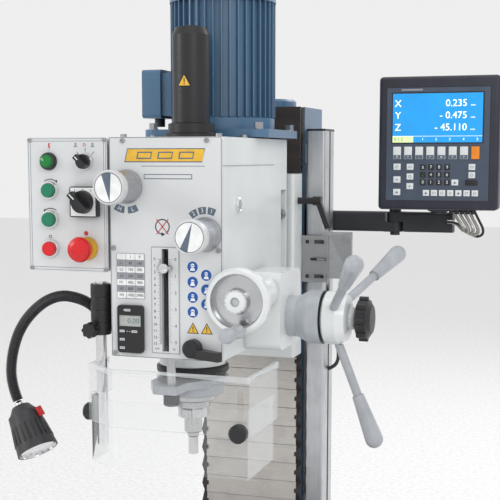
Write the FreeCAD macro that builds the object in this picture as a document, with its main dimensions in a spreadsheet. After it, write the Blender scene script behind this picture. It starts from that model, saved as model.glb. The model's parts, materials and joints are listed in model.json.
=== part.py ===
"""A geared-head vertical milling machine for the bench, as a parametric FreeCAD document.

Two coordinate groups are used. Pieces of the frame and table have Z from the floor. Pieces of
the head have Z from the top edge of its front panel. Both have X to the right and Y to the
back, measured from the spindle's axis, and each piece's Placement carries it to the row frame,
whose origin is at the centre of the four base bolts.
"""

import FreeCAD, Part
import math
import os
import re
import Sketcher

V = FreeCAD.Vector

# name: (value in millimetres or degrees, what it is)
DIMENSIONS = {
    "spindle_y": (-130, "spindle axis, from the centre of the base bolts"),
    "head_top": (1000, "top edge of the front panel, from the floor"),
    "fit": (0.06, "clearance of a running fit, each side"),
    # base
    "foot_half": (190, "half width of the base foot"),
    "foot_front": (-230, "front of the foot"),
    "foot_back": (490, "back of the foot"),
    "foot_thick": (28, "height of the foot flange"),
    "bolt_x": (160, "base bolts, each side"),
    "bolt_front": (-200, "front base bolts"),
    "bolt_back": (460, "back base bolts"),
    "bolt_radius": (9, "base bolt holes"),
    "way_root_z": (95, "root of the saddle way"),
    "way_top_z": (120, "top of the saddle way"),
    "way_root": (62, "half width of a way at its root"),
    "way_wide": (76, "half width of the saddle way at its top"),
    # column
    "column_half": (95, "half width of the column"),
    "column_front": (330, "front face of the column casting"),
    "column_back": (466, "back face of the column"),
    "column_top": (1061, "top of the column"),
    "rail_front": (316, "front of the column's dovetail rail"),
    "rail_root": (58, "half width of the rail at its root"),
    "rail_wide": (72, "half width of the rail at its front"),
    "screw_y": (385, "axis of the head's leadscrew"),
    "screw_radius": (11, "leadscrews' radius"),
    # saddle and table
    "saddle_half": (120, "half width of the saddle"),
    "saddle_reach": (125, "half length of the saddle along Y"),
    "saddle_top": (172, "flat top of the saddle, under its way"),
    "cross_way_z": (196, "top of the table's way"),
    "cross_way_wide": (75, "half width of the table's way at its top"),
    "table_half": (400, "half length of the table"),
    "table_reach": (120, "half width of the table"),
    "table_top": (250, "working face of the table"),
    "table_slab": (200, "underside of the table's slab"),
    "slot_pitch": (75, "spacing of the T slots"),
    "slot_neck": (7, "half width of a T slot's neck"),
    "slot_wide": (12, "half width of a T slot's foot"),
    "slot_step": (236, "bottom of a T slot's neck"),
    "slot_floor": (226, "floor of a T slot"),
    "table_screw_z": (198, "axis of the table's leadscrew"),
    "saddle_screw_z": (88, "axis of the saddle's leadscrew"),
    "cross_screw_radius": (9, "radius of the table's and saddle's leadscrews"),
    "wheel_radius": (70, "handwheels' outer radius"),
    "gib": (4, "thickness of the gibs"),
    # head
    "head_half": (90, "half width of the head casting"),
    "head_front": (-106, "front face of the head casting"),
    "panel_front": (-112, "front face of the panel and the box's lid"),
    "head_back": (237, "back face of the head casting"),
    "head_floor": (-336, "underside of the head casting"),
    "seam": (-43, "seam between the casting and its top cover"),
    "cavity_floor": (-140, "floor of the gearbox"),
    "tilt_z": (-190, "axis on which the head tilts"),
    "spigot": (30, "radius of the tilt spigot"),
    "quill_radius": (37.5, "quill's outer radius"),
    "quill_nose": (-421, "bottom of the quill at rest"),
    "feed_y": (51, "axis of the feed shaft"),
    "feed_z": (-285, "axis of the feed shaft"),
    "worm_x": (120, "axis of the fine feed worm"),
    "worm_z": (-241, "axis of the fine feed worm"),
    "shaft_y": (80, "axis of the intermediate gear shaft"),
    "motor_y": (150, "axis of the motor"),
    "gear_module": (2.5, "module of the head's gears"),
    "rack_module": (2, "module of the quill's rack and pinion"),
    "backlash": (0.5, "backlash of the gears"),
    "slide_half": (100, "half width of the head's slide"),
    "slide_front": (241, "front of the head's slide"),
    "slide_top": (-60, "top of the head's slide"),
    "slide_floor": (-390, "bottom of the head's slide"),
    "depth_rod_y": (-92, "axis of the depth rod"),
    # control box and guard
    "box_left": (-231, "left side of the control box"),
    "box_right": (-95, "right side of the control box"),
    "box_back": (-28, "back of the control box"),
    "box_floor": (-207, "bottom of the control box"),
    "lid_back": (-105, "back of the box's lid"),
    "rod_x": (-114.5, "axis of the guard's rod"),
    "rod_y": (-100, "axis of the guard's rod"),
    "rod_radius": (8.5, "radius of the guard's rod"),
    "guard_rim": (-350, "upper rim of the guard"),
    # scale and readout
    "scale_left": (103, "left side of the scale cover"),
    "scale_right": (137.5, "right side of the scale cover"),
    "scale_front": (313, "front of the scale cover"),
    "scale_back": (383, "back of the scale cover"),
    "arm_y": (403, "centre of the readout's arm"),
    "arm_z": (850, "centre of the readout's arm"),
    "arm_half": (18.5, "half height of the arm"),
    "elbow_x": (251, "elbow of the arm"),
    "readout_x": (340, "centre of the readout"),
    "readout_half": (106.5, "half width of the readout"),
    "readout_floor": (876, "bottom of the readout"),
    "readout_top": (1112, "top of the readout"),
    "lamp_y": (-76, "plane of the lamp's gooseneck"),
}

os.makedirs("parts", exist_ok=True)
DOC = FreeCAD.newDocument("milling_machine")
SHEET = DOC.addObject("Spreadsheet::Sheet", "Dims")
for row, (alias, (value, meaning)) in enumerate(DIMENSIONS.items(), 1):
    SHEET.set(f"A{row}", meaning)
    SHEET.set(f"B{row}", str(value))
    SHEET.setAlias(f"B{row}", alias)
DOC.recompute()

PIECES = []
ALIAS_WORD = re.compile(r"[A-Za-z_]\w*")


# ---------------------------------------------------------------- sizes and bindings

def bound(text):
    """The expression with each alias given its sheet's name."""
    swap = lambda found: f"Dims.{found.group()}" if found.group() in DIMENSIONS else found.group()
    return ALIAS_WORD.sub(swap, str(text))


def size(text):
    """The number that an expression, or a plain number, stands for."""
    if isinstance(text, (int, float)):
        return float(text)
    return float(SHEET.evalExpression(bound(text)))


def bind(item, field, text):
    """Sets a property to a number, or binds it to the sheet."""
    if isinstance(text, str):
        item.setExpression(field, bound(text))
    else:
        item.setExpression(field, str(text))


def place(item, group):
    """Carries a finished piece from the spindle's axis to the row frame."""
    item.setExpression("Placement.Base.y", "Dims.spindle_y")
    if group == "head":
        item.setExpression("Placement.Base.z", "Dims.head_top")
    PIECES.append(item)
    return item


# ---------------------------------------------------------------- sketched bodies

def new_body(label, group, several=False):
    body = DOC.addObject("PartDesign::Body", label)
    body.Label = label
    body.AllowCompound = several
    return place(body, group)


def origin_plane(body, role):
    return [f for f in body.Origin.OriginFeatures if f.Role == role][0]


# axis: (origin plane across it, sign of the plane's normal along the axis)
PLANES = {"x": ("YZ_Plane", 1), "y": ("XZ_Plane", -1), "z": ("XY_Plane", 1)}


def new_sketch(body, name, axis, offset):
    """A sketch across an axis. Its own axes are the other two of X, Y and Z, in that order."""
    role, sign = PLANES[axis]
    sketch = body.newObject("Sketcher::SketchObject", f"{body.Name}_{name}_sketch")
    sketch.AttachmentSupport = [(origin_plane(body, role), "")]
    sketch.MapMode = "FlatFace"
    bind(sketch, "AttachmentOffset.Base.z", f"{sign} * ({offset})")
    return sketch


def pin_point(sketch, name, geometry, end, across, up):
    """Holds one point of a sketch at a place that is bound to the sheet."""
    for kind, text, line in (("DistanceX", across, -2), ("DistanceY", up, -1)):
        if abs(size(text)) < 1e-9:
            sketch.addConstraint(Sketcher.Constraint("PointOnObject", geometry, end, line))
            continue
        item = Sketcher.Constraint(kind, -1, 1, geometry, end, size(text))
        index = sketch.addConstraint(item)
        label = f"{name}_{kind[-1].lower()}"
        sketch.renameConstraint(index, label)
        if isinstance(text, str):
            sketch.setExpression(f"Constraints.{label}", bound(text))


def draw_polygon(sketch, points):
    flat = [V(size(a), size(b), 0) for a, b in points]
    first = sketch.GeometryCount
    count = len(flat)
    for i in range(count):
        sketch.addGeometry(Part.LineSegment(flat[i], flat[(i + 1) % count]), False)
    for i in range(count):
        after = first + (i + 1) % count
        sketch.addConstraint(Sketcher.Constraint("Coincident", first + i, 2, after, 1))
    for i, (across, up) in enumerate(points):
        pin_point(sketch, f"p{first + i}", first + i, 1, across, up)


def draw_circle(sketch, across, up, radius):
    centre = V(size(across), size(up), 0)
    index = sketch.addGeometry(Part.Circle(centre, V(0, 0, 1), size(radius)), False)
    pin_point(sketch, f"c{index}", index, 3, across, up)
    label = f"r{index}"
    number = sketch.addConstraint(Sketcher.Constraint("Radius", index, size(radius)))
    sketch.renameConstraint(number, label)
    if isinstance(radius, str):
        sketch.setExpression(f"Constraints.{label}", bound(radius))


def extrude(body, name, axis, draw, low, high, cut=False):
    """A pad, or a pocket, of what draw puts in a sketch, from low to high along an axis."""
    sign = PLANES[axis][1]
    from_high = cut == (sign > 0)
    sketch = new_sketch(body, name, axis, high if from_high else low)
    draw(sketch)
    kind = "PartDesign::Pocket" if cut else "PartDesign::Pad"
    feature = body.newObject(kind, f"{body.Name}_{name}")
    feature.Profile = sketch
    bind(feature, "Length", f"({high}) - ({low})")
    sketch.Visibility = False
    return feature


def prism(body, name, axis, points, low, high, cut=False):
    return extrude(body, name, axis, lambda s: draw_polygon(s, points), low, high, cut)


def block(body, name, x, y, z, cut=False):
    corners = [(x[0], y[0]), (x[1], y[0]), (x[1], y[1]), (x[0], y[1])]
    return prism(body, name, "z", corners, z[0], z[1], cut)


def rods(body, name, axis, centres, radius, low, high, cut=False):
    def draw(sketch):
        for across, up in centres:
            draw_circle(sketch, across, up, radius)
    return extrude(body, name, axis, draw, low, high, cut)


def rod(body, name, axis, centre, radius, low, high, cut=False):
    return rods(body, name, axis, [centre], radius, low, high, cut)


def turned(body, name, axis, centre, points, cut=False):
    """Turns an outline of (radius, place along the axis) points about an axis."""
    role = {"x": "XY_Plane", "y": "YZ_Plane", "z": "XZ_Plane"}[axis]
    sketch = body.newObject("Sketcher::SketchObject", f"{body.Name}_{name}_sketch")
    sketch.AttachmentSupport = [(origin_plane(body, role), "")]
    sketch.MapMode = "FlatFace"
    first, second = centre
    if axis == "z":
        bind(sketch, "AttachmentOffset.Base.x", first)
        bind(sketch, "AttachmentOffset.Base.z", f"-({second})")
        outline = points
    else:
        across, normal = (first, second) if axis == "x" else (second, first)
        bind(sketch, "AttachmentOffset.Base.y", across)
        bind(sketch, "AttachmentOffset.Base.z", normal)
        outline = [(along, radius) for radius, along in points]
    draw_polygon(sketch, outline)
    kind = "PartDesign::Groove" if cut else "PartDesign::Revolution"
    feature = body.newObject(kind, f"{body.Name}_{name}")
    feature.Profile = sketch
    feature.ReferenceAxis = (sketch, ["V_Axis" if axis == "z" else "H_Axis"])
    feature.Angle = 360
    sketch.Visibility = False
    return feature


def edges_along(shape, axis, wanted=None):
    """Names of the straight edges that run along an axis and that wanted accepts."""
    names = []
    for number, edge in enumerate(shape.Edges, 1):
        if edge.Curve.TypeId != "Part::GeomLine":
            continue
        run = edge.Curve.Direction
        if abs(getattr(run, axis)) > 0.999 and (wanted is None or wanted(edge.CenterOfMass)):
            names.append(f"Edge{number}")
    return names


def soften(body, name, radius, axis, wanted=None):
    """Rounds the chosen straight edges of a body's last feature."""
    DOC.recompute()
    base = body.Tip
    names = edges_along(base.Shape, axis, wanted)
    fillet = body.newObject("PartDesign::Fillet", f"{body.Name}_{name}")
    fillet.Base = (base, names)
    bind(fillet, "Radius", radius)
    return fillet


# ---------------------------------------------------------------- pieces made with Part's functions

def feature(label, group, shape):
    if not shape.Placement.isIdentity():
        shape = Part.makeCompound([shape])
    item = DOC.addObject("Part::Feature", label)
    item.Label = label
    item.Shape = shape
    return place(item, group)


def solid_rod(centre, direction, radius, length):
    return Part.makeCylinder(radius, length, V(*centre), V(*direction))


def gear_outline(teeth, module, backlash):
    """The points of an involute gear's outline, its first tooth centred on +X."""
    pitch = teeth * module / 2
    base = pitch * math.cos(math.radians(20))
    tip = pitch + module
    root = pitch - 1.25 * module
    roll = lambda radius: math.sqrt(max((radius / base) ** 2 - 1, 0))
    involute = lambda radius: roll(radius) - math.atan(roll(radius))
    half = math.pi / (2 * teeth) - backlash / (2 * pitch) + involute(pitch)
    start = max(base, root)
    flank = [start + (tip - start) * i / 6 for i in range(7)]
    points = []
    for tooth in range(teeth):
        middle = 2 * math.pi * tooth / teeth
        foot = half + 0.2 * (math.pi / teeth - half)
        sides = [(root, -foot)]
        sides += [(r, -(half - involute(r))) for r in flank]
        sides += [(r, half - involute(r)) for r in reversed(flank)]
        sides.append((root, foot))
        points += [(r * math.cos(middle + a), r * math.sin(middle + a)) for r, a in sides]
    return points


def gear_blank(teeth, module, thickness, turn=0.0):
    """A spur gear about Z, standing on the plane Z = 0 and turned by some degrees."""
    corners = [V(a, b, 0) for a, b in gear_outline(teeth, module, size("backlash"))]
    face = Part.Face(Part.makePolygon(corners + corners[:1]))
    solid = face.extrude(V(0, 0, thickness))
    solid.rotate(V(0, 0, 0), V(0, 0, 1), turn)
    return solid


def hex_prism(centre, direction, across_flats, height):
    radius = across_flats / math.sqrt(3)
    corners = [V(radius * math.cos(math.radians(60 * i)), radius * math.sin(math.radians(60 * i)), 0)
               for i in range(7)]
    solid = Part.Face(Part.makePolygon(corners)).extrude(V(0, 0, height))
    solid.Placement = FreeCAD.Placement(V(*centre), FreeCAD.Rotation(V(0, 0, 1), V(*direction)))
    return solid


def socket_screw(centre, direction, radius, height):
    """A socket head standing on a face, with its hexagon sunk in it."""
    head = solid_rod(centre, direction, radius, height)
    run = V(*direction)
    deep = V(*centre) + run * (0.45 * height)
    return head.cut(hex_prism(tuple(deep), direction, radius, height))


def hex_bolt(centre, direction, across_flats, height):
    """A hexagon head on a washer."""
    run = V(*direction)
    washer = solid_rod(centre, direction, 0.62 * across_flats, 0.2 * height)
    head = hex_prism(tuple(V(*centre) + run * (0.2 * height)), direction, across_flats, height)
    return washer.fuse(head).removeSplitter()


# ---------------------------------------------------------------- base, column and their covers

def base_casting():
    b = new_body("base_body", "floor")
    block(b, "foot", ("-foot_half", "foot_half"), ("foot_front", "foot_back"), (0, "foot_thick"))
    slope = [(-140, "foot_thick - 1"), (140, "foot_thick - 1"), (112, "way_root_z"), (-112, "way_root_z")]
    prism(b, "pedestal", "y", slope, "foot_front + 25", 300)
    block(b, "column_pad", (-130, 130), (285, "foot_back - 6"), ("foot_thick - 1", "way_top_z"))
    way = [("0.56 - way_root", "way_root_z - 1"), ("way_root - 0.56", "way_root_z - 1"),
           ("way_wide", "way_top_z"), ("-way_wide", "way_top_z")]
    prism(b, "way", "y", way, "foot_front + 25", 290)
    soften(b, "foot_corners", 30, "z", lambda c: abs(c.x) > 185)
    block(b, "screw_channel", (-24, 24), ("foot_front - 5", 275), (66, "way_top_z + 1"), cut=True)
    block(b, "hollow_front", (-100, 100), (-185, 265), (-1, 54), cut=True)
    block(b, "hollow_back", (-95, 95), (300, 460), (-1, 100), cut=True)
    bolts = [(x, y) for x in ("-bolt_x", "bolt_x") for y in ("bolt_front", "bolt_back")]
    rods(b, "bolt_holes", "z", bolts, "bolt_radius", -1, "foot_thick + 1", cut=True)


def column():
    b = new_body("column_casting", "floor")
    block(b, "tower", ("-column_half", "column_half"), ("column_front", "column_back"),
          ("way_top_z", "column_top"))
    block(b, "flange", (-124, 124), (322, 480), ("way_top_z", "way_top_z + 24"))
    rail = [("1 - rail_root", "column_front + 1"), ("rail_root - 1", "column_front + 1"),
            ("rail_wide", "rail_front"), ("-rail_wide", "rail_front")]
    prism(b, "rail", "z", rail, "way_top_z + 24", "column_top")
    soften(b, "corners", 14, "z", lambda c: c.y > 460)
    block(b, "hollow", ("18 - column_half", "column_half - 18"), (350, 450),
          ("way_top_z - 1", "column_top - 18"), cut=True)
    block(b, "front_slot", (-32, 32), (310, 351), (180, "column_top - 26"), cut=True)
    rod(b, "screw_hole", "z", (0, "screw_y"), "screw_radius + 2", "column_top - 20",
        "column_top + 1", cut=True)


def column_bolts():
    places = [(x, y) for x in (-109.5, 109.5) for y in (338, 398, 458)]
    heads = [hex_bolt((x, y, size("way_top_z + 24")), (0, 0, 1), 17, 10) for x, y in places]
    feature("column_bolts", "floor", Part.makeCompound(heads))


def z_drive_cover():
    b = new_body("z_drive_cover", "floor")
    outline = [(0, "column_top + 14"), (53, "column_top + 12"), (53, "column_top"),
               (57, "column_top"), (57, "column_top + 13"), (53, "column_top + 17"),
               (0, "column_top + 18")]
    turned(b, "shell", "z", (0, "screw_y + 12"), outline)


def z_leadscrew():
    b = new_body("z_leadscrew", "floor")
    outline = [(0, 150), ("screw_radius", 150), ("screw_radius", "column_top + 0.3"),
               (20, "column_top + 0.3"), (20, "column_top + 9"), (0, "column_top + 9")]
    turned(b, "screw", "z", (0, "screw_y"), outline)


def upper_way_cover():
    b = new_body("upper_way_cover", "floor")
    block(b, "sheet", (-93, 93), ("rail_front - 10", "rail_front - 2.5"),
          ("head_top + slide_top + 0.5", "column_top"))


def lower_bellows():
    b = new_body("lower_bellows", "floor")
    top = size("head_top + slide_floor - 0.5")
    bottom = 150.0
    folds = 13
    pitch = (top - bottom) / folds
    outline = [(303 if i % 2 else 297.5, bottom + pitch * i / 2) for i in range(2 * folds + 1)]
    outline += [("rail_front - 3", top), ("rail_front - 3", bottom)]
    prism(b, "folds", "x", outline, -98, 98)


def z_scale_cover():
    b = new_body("scale_profile", "floor")
    block(b, "profile", ("scale_left", "scale_right"), ("scale_front", "scale_back"), (300, 1017))
    soften(b, "corners", 4, "z")
    block(b, "hollow", ("scale_left + 3", "scale_right - 3"), ("scale_front + 3", "scale_back - 3"),
          (299, 1018), cut=True)
    block(b, "reader_slot", ("scale_right - 4", "scale_right + 1"), (346, 356), (299, 1018), cut=True)


def scale_caps():
    b = new_body("scale_caps", "floor", several=True)
    corners = [("scale_left", "scale_front"), ("scale_right", "scale_front"),
               ("scale_right", "scale_back"), ("scale_left", "scale_back")]
    prism(b, "top", "z", corners, 1017, 1021)
    prism(b, "bottom", "z", corners, 296, 300)


def scale_brackets():
    b = new_body("scale_brackets", "floor", several=True)
    for name, low in (("lower", 330), ("upper", 960)):
        block(b, name, ("column_half", "scale_left"), (334, 372), (low, low + 34))


# ---------------------------------------------------------------- saddle, table and their screws

def dovetail_channel(root, wide, foot, top, clear_side, gib_side):
    """The outline of a channel around a male way, with room for a gib on its + side."""
    return [(f"-({root}) - {clear_side}", foot), (f"{root} + {gib_side}", foot),
            (f"{wide} + {gib_side}", top), (f"-({wide}) - {clear_side}", top)]


def gib_strip(label, axis, root, wide, foot, top, low, high):
    b = new_body(label, "floor")
    outline = [(f"{root} + 0.09", foot), (f"{root} + 0.09 + gib", foot),
               (f"{wide} + 0.09 + gib", top), (f"{wide} + 0.09", top)]
    prism(b, "strip", axis, outline, low, high)


def y_saddle():
    b = new_body("saddle_casting", "floor")
    block(b, "body", ("-saddle_half", "saddle_half"), ("-saddle_reach", "saddle_reach"),
          ("way_root_z + 1", "saddle_top"))
    way = [("0.56 - way_root", "saddle_top - 1"), ("way_root - 0.56", "saddle_top - 1"),
           ("cross_way_wide", "cross_way_z"), ("-cross_way_wide", "cross_way_z")]
    prism(b, "cross_way", "x", way, "-saddle_half", "saddle_half")
    channel = dovetail_channel("way_root - 0.56", "way_wide", "way_root_z - 1", "way_top_z + fit",
                               "0.09", "gib + 0.18")
    prism(b, "channel", "y", channel, "-saddle_reach - 1", "saddle_reach + 1", cut=True)
    block(b, "screw_channel", ("-saddle_half - 1", "saddle_half + 1"), (-16, 16),
          (184, "cross_way_z + 1"), cut=True)
    block(b, "nut_seat", (-18, 18), (-20, 20), ("way_top_z - 1", 132), cut=True)


def leadscrew_nuts():
    nut = new_body("x_nut", "floor")
    block(nut, "block", (-22, 22), (-15.9, 15.9), (184, 211))
    rod(nut, "bore", "x", (0, "table_screw_z"), "cross_screw_radius + fit", -23, 23, cut=True)
    nut = new_body("y_nut", "floor")
    block(nut, "block", (-17.9, 17.9), (-19.9, 19.9), (73, 131.9))
    rod(nut, "bore", "y", (0, "saddle_screw_z"), "cross_screw_radius + fit", -21, 21, cut=True)
    nut = new_body("z_nut", "head")
    block(nut, "block", (-27.9, 27.9), ("rail_front - 15.9", 412), (-244.9, -175.1))
    rod(nut, "bore", "z", (0, "screw_y"), "screw_radius + fit", -250, -170, cut=True)


def table():
    b = new_body("table", "floor")
    block(b, "slab", ("-table_half", "table_half"), ("-table_reach", "table_reach"),
          ("table_slab", "table_top"))
    block(b, "skirt", ("-table_half", "table_half"), (-104, 104), ("saddle_top + 1", "table_slab + 1"))
    soften(b, "corners", 6, "z")
    channel = dovetail_channel("way_root - 0.56", "cross_way_wide", "saddle_top - 1",
                               "cross_way_z + fit", "0.09", "gib + 0.18")
    prism(b, "channel", "x", channel, "-table_half - 1", "table_half + 1", cut=True)
    block(b, "screw_channel", ("-table_half - 1", "table_half + 1"), (-18, 18), (190, 214), cut=True)
    for number, place_y in enumerate(("-slot_pitch", "0", "slot_pitch")):
        neck = (f"{place_y} - slot_neck", f"{place_y} + slot_neck")
        foot = (f"{place_y} - slot_wide", f"{place_y} + slot_wide")
        ends = ("-table_half - 1", "table_half + 1")
        block(b, f"slot_neck_{number}", ends, neck, ("slot_step - 1", "table_top + 1"), cut=True)
        block(b, f"slot_foot_{number}", ends, foot, ("slot_floor", "slot_step"), cut=True)


def x_leadscrew():
    b = new_body("x_screw", "floor")
    turned(b, "screw", "x", (0, "table_screw_z"),
           [(0, -474), ("cross_screw_radius", -474), ("cross_screw_radius", 474), (0, 474)])


def y_leadscrew():
    b = new_body("y_screw", "floor")
    turned(b, "screw", "y", (0, "saddle_screw_z"),
           [(0, -262), ("cross_screw_radius", -262), ("cross_screw_radius", 262), (0, 262)])


def end_brackets():
    b = new_body("end_brackets", "floor", several=True)
    hand = (("left", "-table_half - 24", "-table_half"), ("right", "table_half", "table_half + 24"))
    for name, low, high in hand:
        block(b, name, (low, high), (-58, 58), (172, 226))
    rod(b, "bore", "x", (0, "table_screw_z"), "cross_screw_radius + fit", -430, 430, cut=True)


def y_bracket():
    b = new_body("y_bracket", "floor")
    block(b, "plate", (-42, 42), ("foot_front + 7", "foot_front + 25"), ("foot_thick", 118))
    soften(b, "corners", 12, "y", lambda c: c.z > 100)
    rod(b, "bore", "y", (0, "saddle_screw_z"), "cross_screw_radius + fit", -230, -200, cut=True)


def dial(label, axis, centre, near, far):
    """A graduated ring on a leadscrew."""
    b = new_body(label, "floor")
    bore = "cross_screw_radius"
    turned(b, "ring", axis, centre, [(bore, near), (26, near), (26, f"0.5 * ({near} + {far})"),
                                     (22, far), (bore, far)])


def handwheel(label, axis, centre, near, sign):
    """A dished wheel on a leadscrew. It opens away from the machine, which is the sign given."""
    b = new_body(label, "floor")
    step = lambda distance: near + sign * distance
    outline = [("cross_screw_radius", step(0)), (19, step(0)), (20, step(10)), (50, step(16)),
               ("wheel_radius - 10", step(12)), ("wheel_radius - 3", step(11)),
               ("wheel_radius", step(15)), ("wheel_radius", step(22)), ("wheel_radius - 3", step(26)),
               ("wheel_radius - 10", step(25)), (50, step(21)), (17, step(17)), (16, step(31)),
               ("cross_screw_radius", step(31))]
    turned(b, "wheel", axis, centre, outline)


def crank_grip(label, axis, centre, near, sign, group="floor"):
    """A turning grip on its own pin, standing on a wheel's rim."""
    b = new_body(label, group)
    step = lambda distance: near + sign * distance
    outline = [(0, step(0)), (4, step(0)), (4, step(4)), (9, step(4.3)), (11, step(14)),
               (8.5, step(30)), (11.5, step(58)), (9, step(70)), (0, step(72))]
    turned(b, "grip", axis, centre, outline)


def locks():
    """The small ratchet levers that lock the table and the saddle."""
    b = new_body("x_lock", "floor")
    rod(b, "hub", "y", (52, 160), 8, -144, -125.3)
    prism(b, "arm", "y", [(52, 155), (100, 156), (100, 164), (52, 165)], -143, -134)
    b = new_body("y_lock", "floor")
    rod(b, "hub", "x", (60, 112), 8, 120.3, 140)
    prism(b, "arm", "x", [(60, 107), (60, 117), (108, 116), (108, 108)], 130, 139)
    b = new_body("z_lock_lever", "head")
    rod(b, "hub", "x", (270, -108), 6, "slide_half + 0.3", 136)
    rod(b, "cap", "x", (270, -108), 8, 128, 143)
    prism(b, "arm", "y", [(131, -104), (141, -104), (160, -156), (151, -158)], 264.5, 275.5)


# ---------------------------------------------------------------- head casting, cover and slide

def head_casting():
    b = new_body("head_shell", "head")
    block(b, "shell", ("-head_half", "head_half"), ("head_front", "head_back"), ("head_floor", "seam"))
    rod(b, "boss", "z", (0, 0), 54, -361, "head_floor + 1")
    soften(b, "corners", 8, "z", lambda c: abs(c.x) > 80)
    block(b, "gearbox", ("14 - head_half", "head_half - 14"), (-70, 205),
          ("cavity_floor", "seam + 1"), cut=True)
    rod(b, "quill_bore", "z", (0, 0), "quill_radius + fit", -362, "cavity_floor + 1", cut=True)
    block(b, "rack_slot", (-9, 9), (20, 40.2), (-362, "cavity_floor + 1"), cut=True)
    rod(b, "pinion_bore", "x", ("feed_y", "feed_z"), 17, -30, "head_half + 1", cut=True)
    rod(b, "shaft_bore", "x", ("feed_y", "feed_z"), "12 + fit", -62, -29, cut=True)
    block(b, "depth_slot", (-14, 14), ("head_front - 1", -78), ("head_floor - 1", -150), cut=True)
    for name, low, high in (("left", -91, -74), ("right", 74, 91)):
        block(b, f"bolt_recess_{name}", (low, high), (195, 224), (-290, -87), cut=True)
    rod(b, "shaft_seat", "z", (0, "shaft_y"), "10 + fit", "cavity_floor - 14",
        "cavity_floor + 1", cut=True)
    rod(b, "range_hole", "y", (-62.3, -74.5), "6 + fit", -107, -60, cut=True)
    rod(b, "speed_hole", "y", (64.5, -144.7), "6 + fit", -107, -66, cut=True)
    rod(b, "lock_hole", "y", (45.4, -317), "6 + fit", -107, -40, cut=True)
    rod(b, "spigot", "y", (0, "tilt_z"), "spigot", "head_back - 1", 286)


def head_cover():
    b = new_body("cover_shell", "head")
    block(b, "lid", ("-head_half", "head_half"), ("head_front", "head_back"), ("seam", 0))
    soften(b, "corners", 8, "z")
    block(b, "room", ("10 - head_half", "head_half - 10"), (-96, 227), ("seam - 1", -12), cut=True)
    rod(b, "sleeve_boss", "z", (0, 0), 47, "seam", -11)
    rod(b, "shaft_boss", "z", (0, "shaft_y"), 24, "seam", -11)
    rod(b, "bearing_seat", "z", (0, 0), 38, "seam - 1", -22, cut=True)
    rod(b, "shaft_seat", "z", (0, "shaft_y"), "10 + fit", "seam - 1", -26, cut=True)
    rod(b, "drawbar_hole", "z", (0, 0), 24, -30, 1, cut=True)
    rod(b, "motor_hole", "z", (0, "motor_y"), 30, -30, 1, cut=True)
    for number, x in enumerate((-78, 78)):
        rods(b, f"lugs_{number}", "z", [(x, -88), (x, 30)], 9, "seam", -11)


def cover_screws():
    places = [(x, y) for x in (-78, 78) for y in (-88, 30)]
    heads = [socket_screw((x, y, 0), (0, 0, 1), 5, 5) for x, y in places]
    feature("cover_screws", "head", Part.makeCompound(heads))


def head_slide():
    b = new_body("slide_casting", "head")
    block(b, "body", ("-slide_half", "slide_half"), ("slide_front", 294), ("slide_floor", "slide_top"))
    block(b, "wrap", (-88, 88), (293, 328), ("slide_floor", "slide_top"))
    soften(b, "corners", 5, "z", lambda c: c.y < 250 or c.y > 320)
    channel = [("-rail_root - 0.09", "column_front"), ("rail_root + 0.18 + gib", "column_front"),
               ("rail_wide + 0.18 + gib + 0.06", "rail_front - fit"),
               ("-rail_wide - 0.15", "rail_front - fit")]
    prism(b, "channel", "z", channel, "slide_floor - 1", "slide_top + 1", cut=True)
    block(b, "nut_seat", (-28, 28), ("rail_front - 16", "rail_front + 1"), (-245, -175), cut=True)
    rod(b, "pivot", "y", (0, "tilt_z"), "spigot + fit", "slide_front - 1", 288, cut=True)


def head_gib():
    b = new_body("head_gib", "head")
    outline = [("rail_root + 0.09 + 2", 328), ("rail_root + 0.09 + gib + 2", 328),
               ("rail_wide + 0.09 + gib", "rail_front"), ("rail_wide + 0.09", "rail_front")]
    prism(b, "strip", "z", outline, "slide_floor", "slide_top")


def tilt_bolts():
    places = [(x, z) for x in (-82.5, 82.5) for z in (-130, -250)]
    heads = [hex_bolt((x, 224, z), (0, -1, 0), 13, 11) for x, z in places]
    feature("tilt_bolts", "head", Part.makeCompound(heads))


def front_panel():
    b = new_body("panel_sheet", "head")
    block(b, "plate", (-91, 91), ("panel_front", "head_front"), (-336.4, 0))
    soften(b, "corners", 4, "y")
    block(b, "slot", (-5.6, 5), (-113, -105), (-325, -168), cut=True)
    holes = [(-62.3, -74.5), (64.5, -144.7), (45.4, -317)]
    rods(b, "shaft_holes", "y", holes, "6 + fit", -113, -105, cut=True)


def panel_screws():
    places = [(-68.7, -5.5), (67.2, -5.5), (-85.5, -168.5), (85.5, -168.5), (-85.5, -331), (84.5, -331)]
    heads = [socket_screw((x, size("panel_front"), z), (0, -1, 0), 3.6, 2.2) for x, z in places]
    feature("panel_screws", "head", Part.makeCompound(heads))


def panel_plates():
    """The printed plates on the panel, and the digital display of the quill's depth."""
    b = new_body("depth_scale", "head")
    block(b, "plate", (-23, 22.5), ("panel_front - 1", "panel_front"), (-328, -165))
    block(b, "slot", (-5.6, 5), ("panel_front - 2", "panel_front + 1"), (-325, -168), cut=True)
    b = new_body("speed_plate", "head")
    block(b, "plate", (-80.5, -34.6), ("panel_front - 0.8", "panel_front"), (-245.5, -176))
    b = new_body("digital_readout", "head")
    block(b, "case", (-78, -35.6), ("panel_front - 7", "panel_front"), (-329, -255.5))
    soften(b, "corners", 5, "y")
    block(b, "window", (-75, -39), ("panel_front - 8", "panel_front - 5.5"), (-288, -271), cut=True)


def gear_knob(label, x, z, stem_back):
    b = new_body(label, "head")
    front = size("panel_front")
    outline = [(0, stem_back), (6, stem_back), (6, front - 0.3), (26, front - 0.3), (26, front - 5),
               (24, front - 8), (25, front - 12), (24.5, front - 62), (22, front - 68), (0, front - 68)]
    turned(b, "knob", "y", (x, z), outline)


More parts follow.
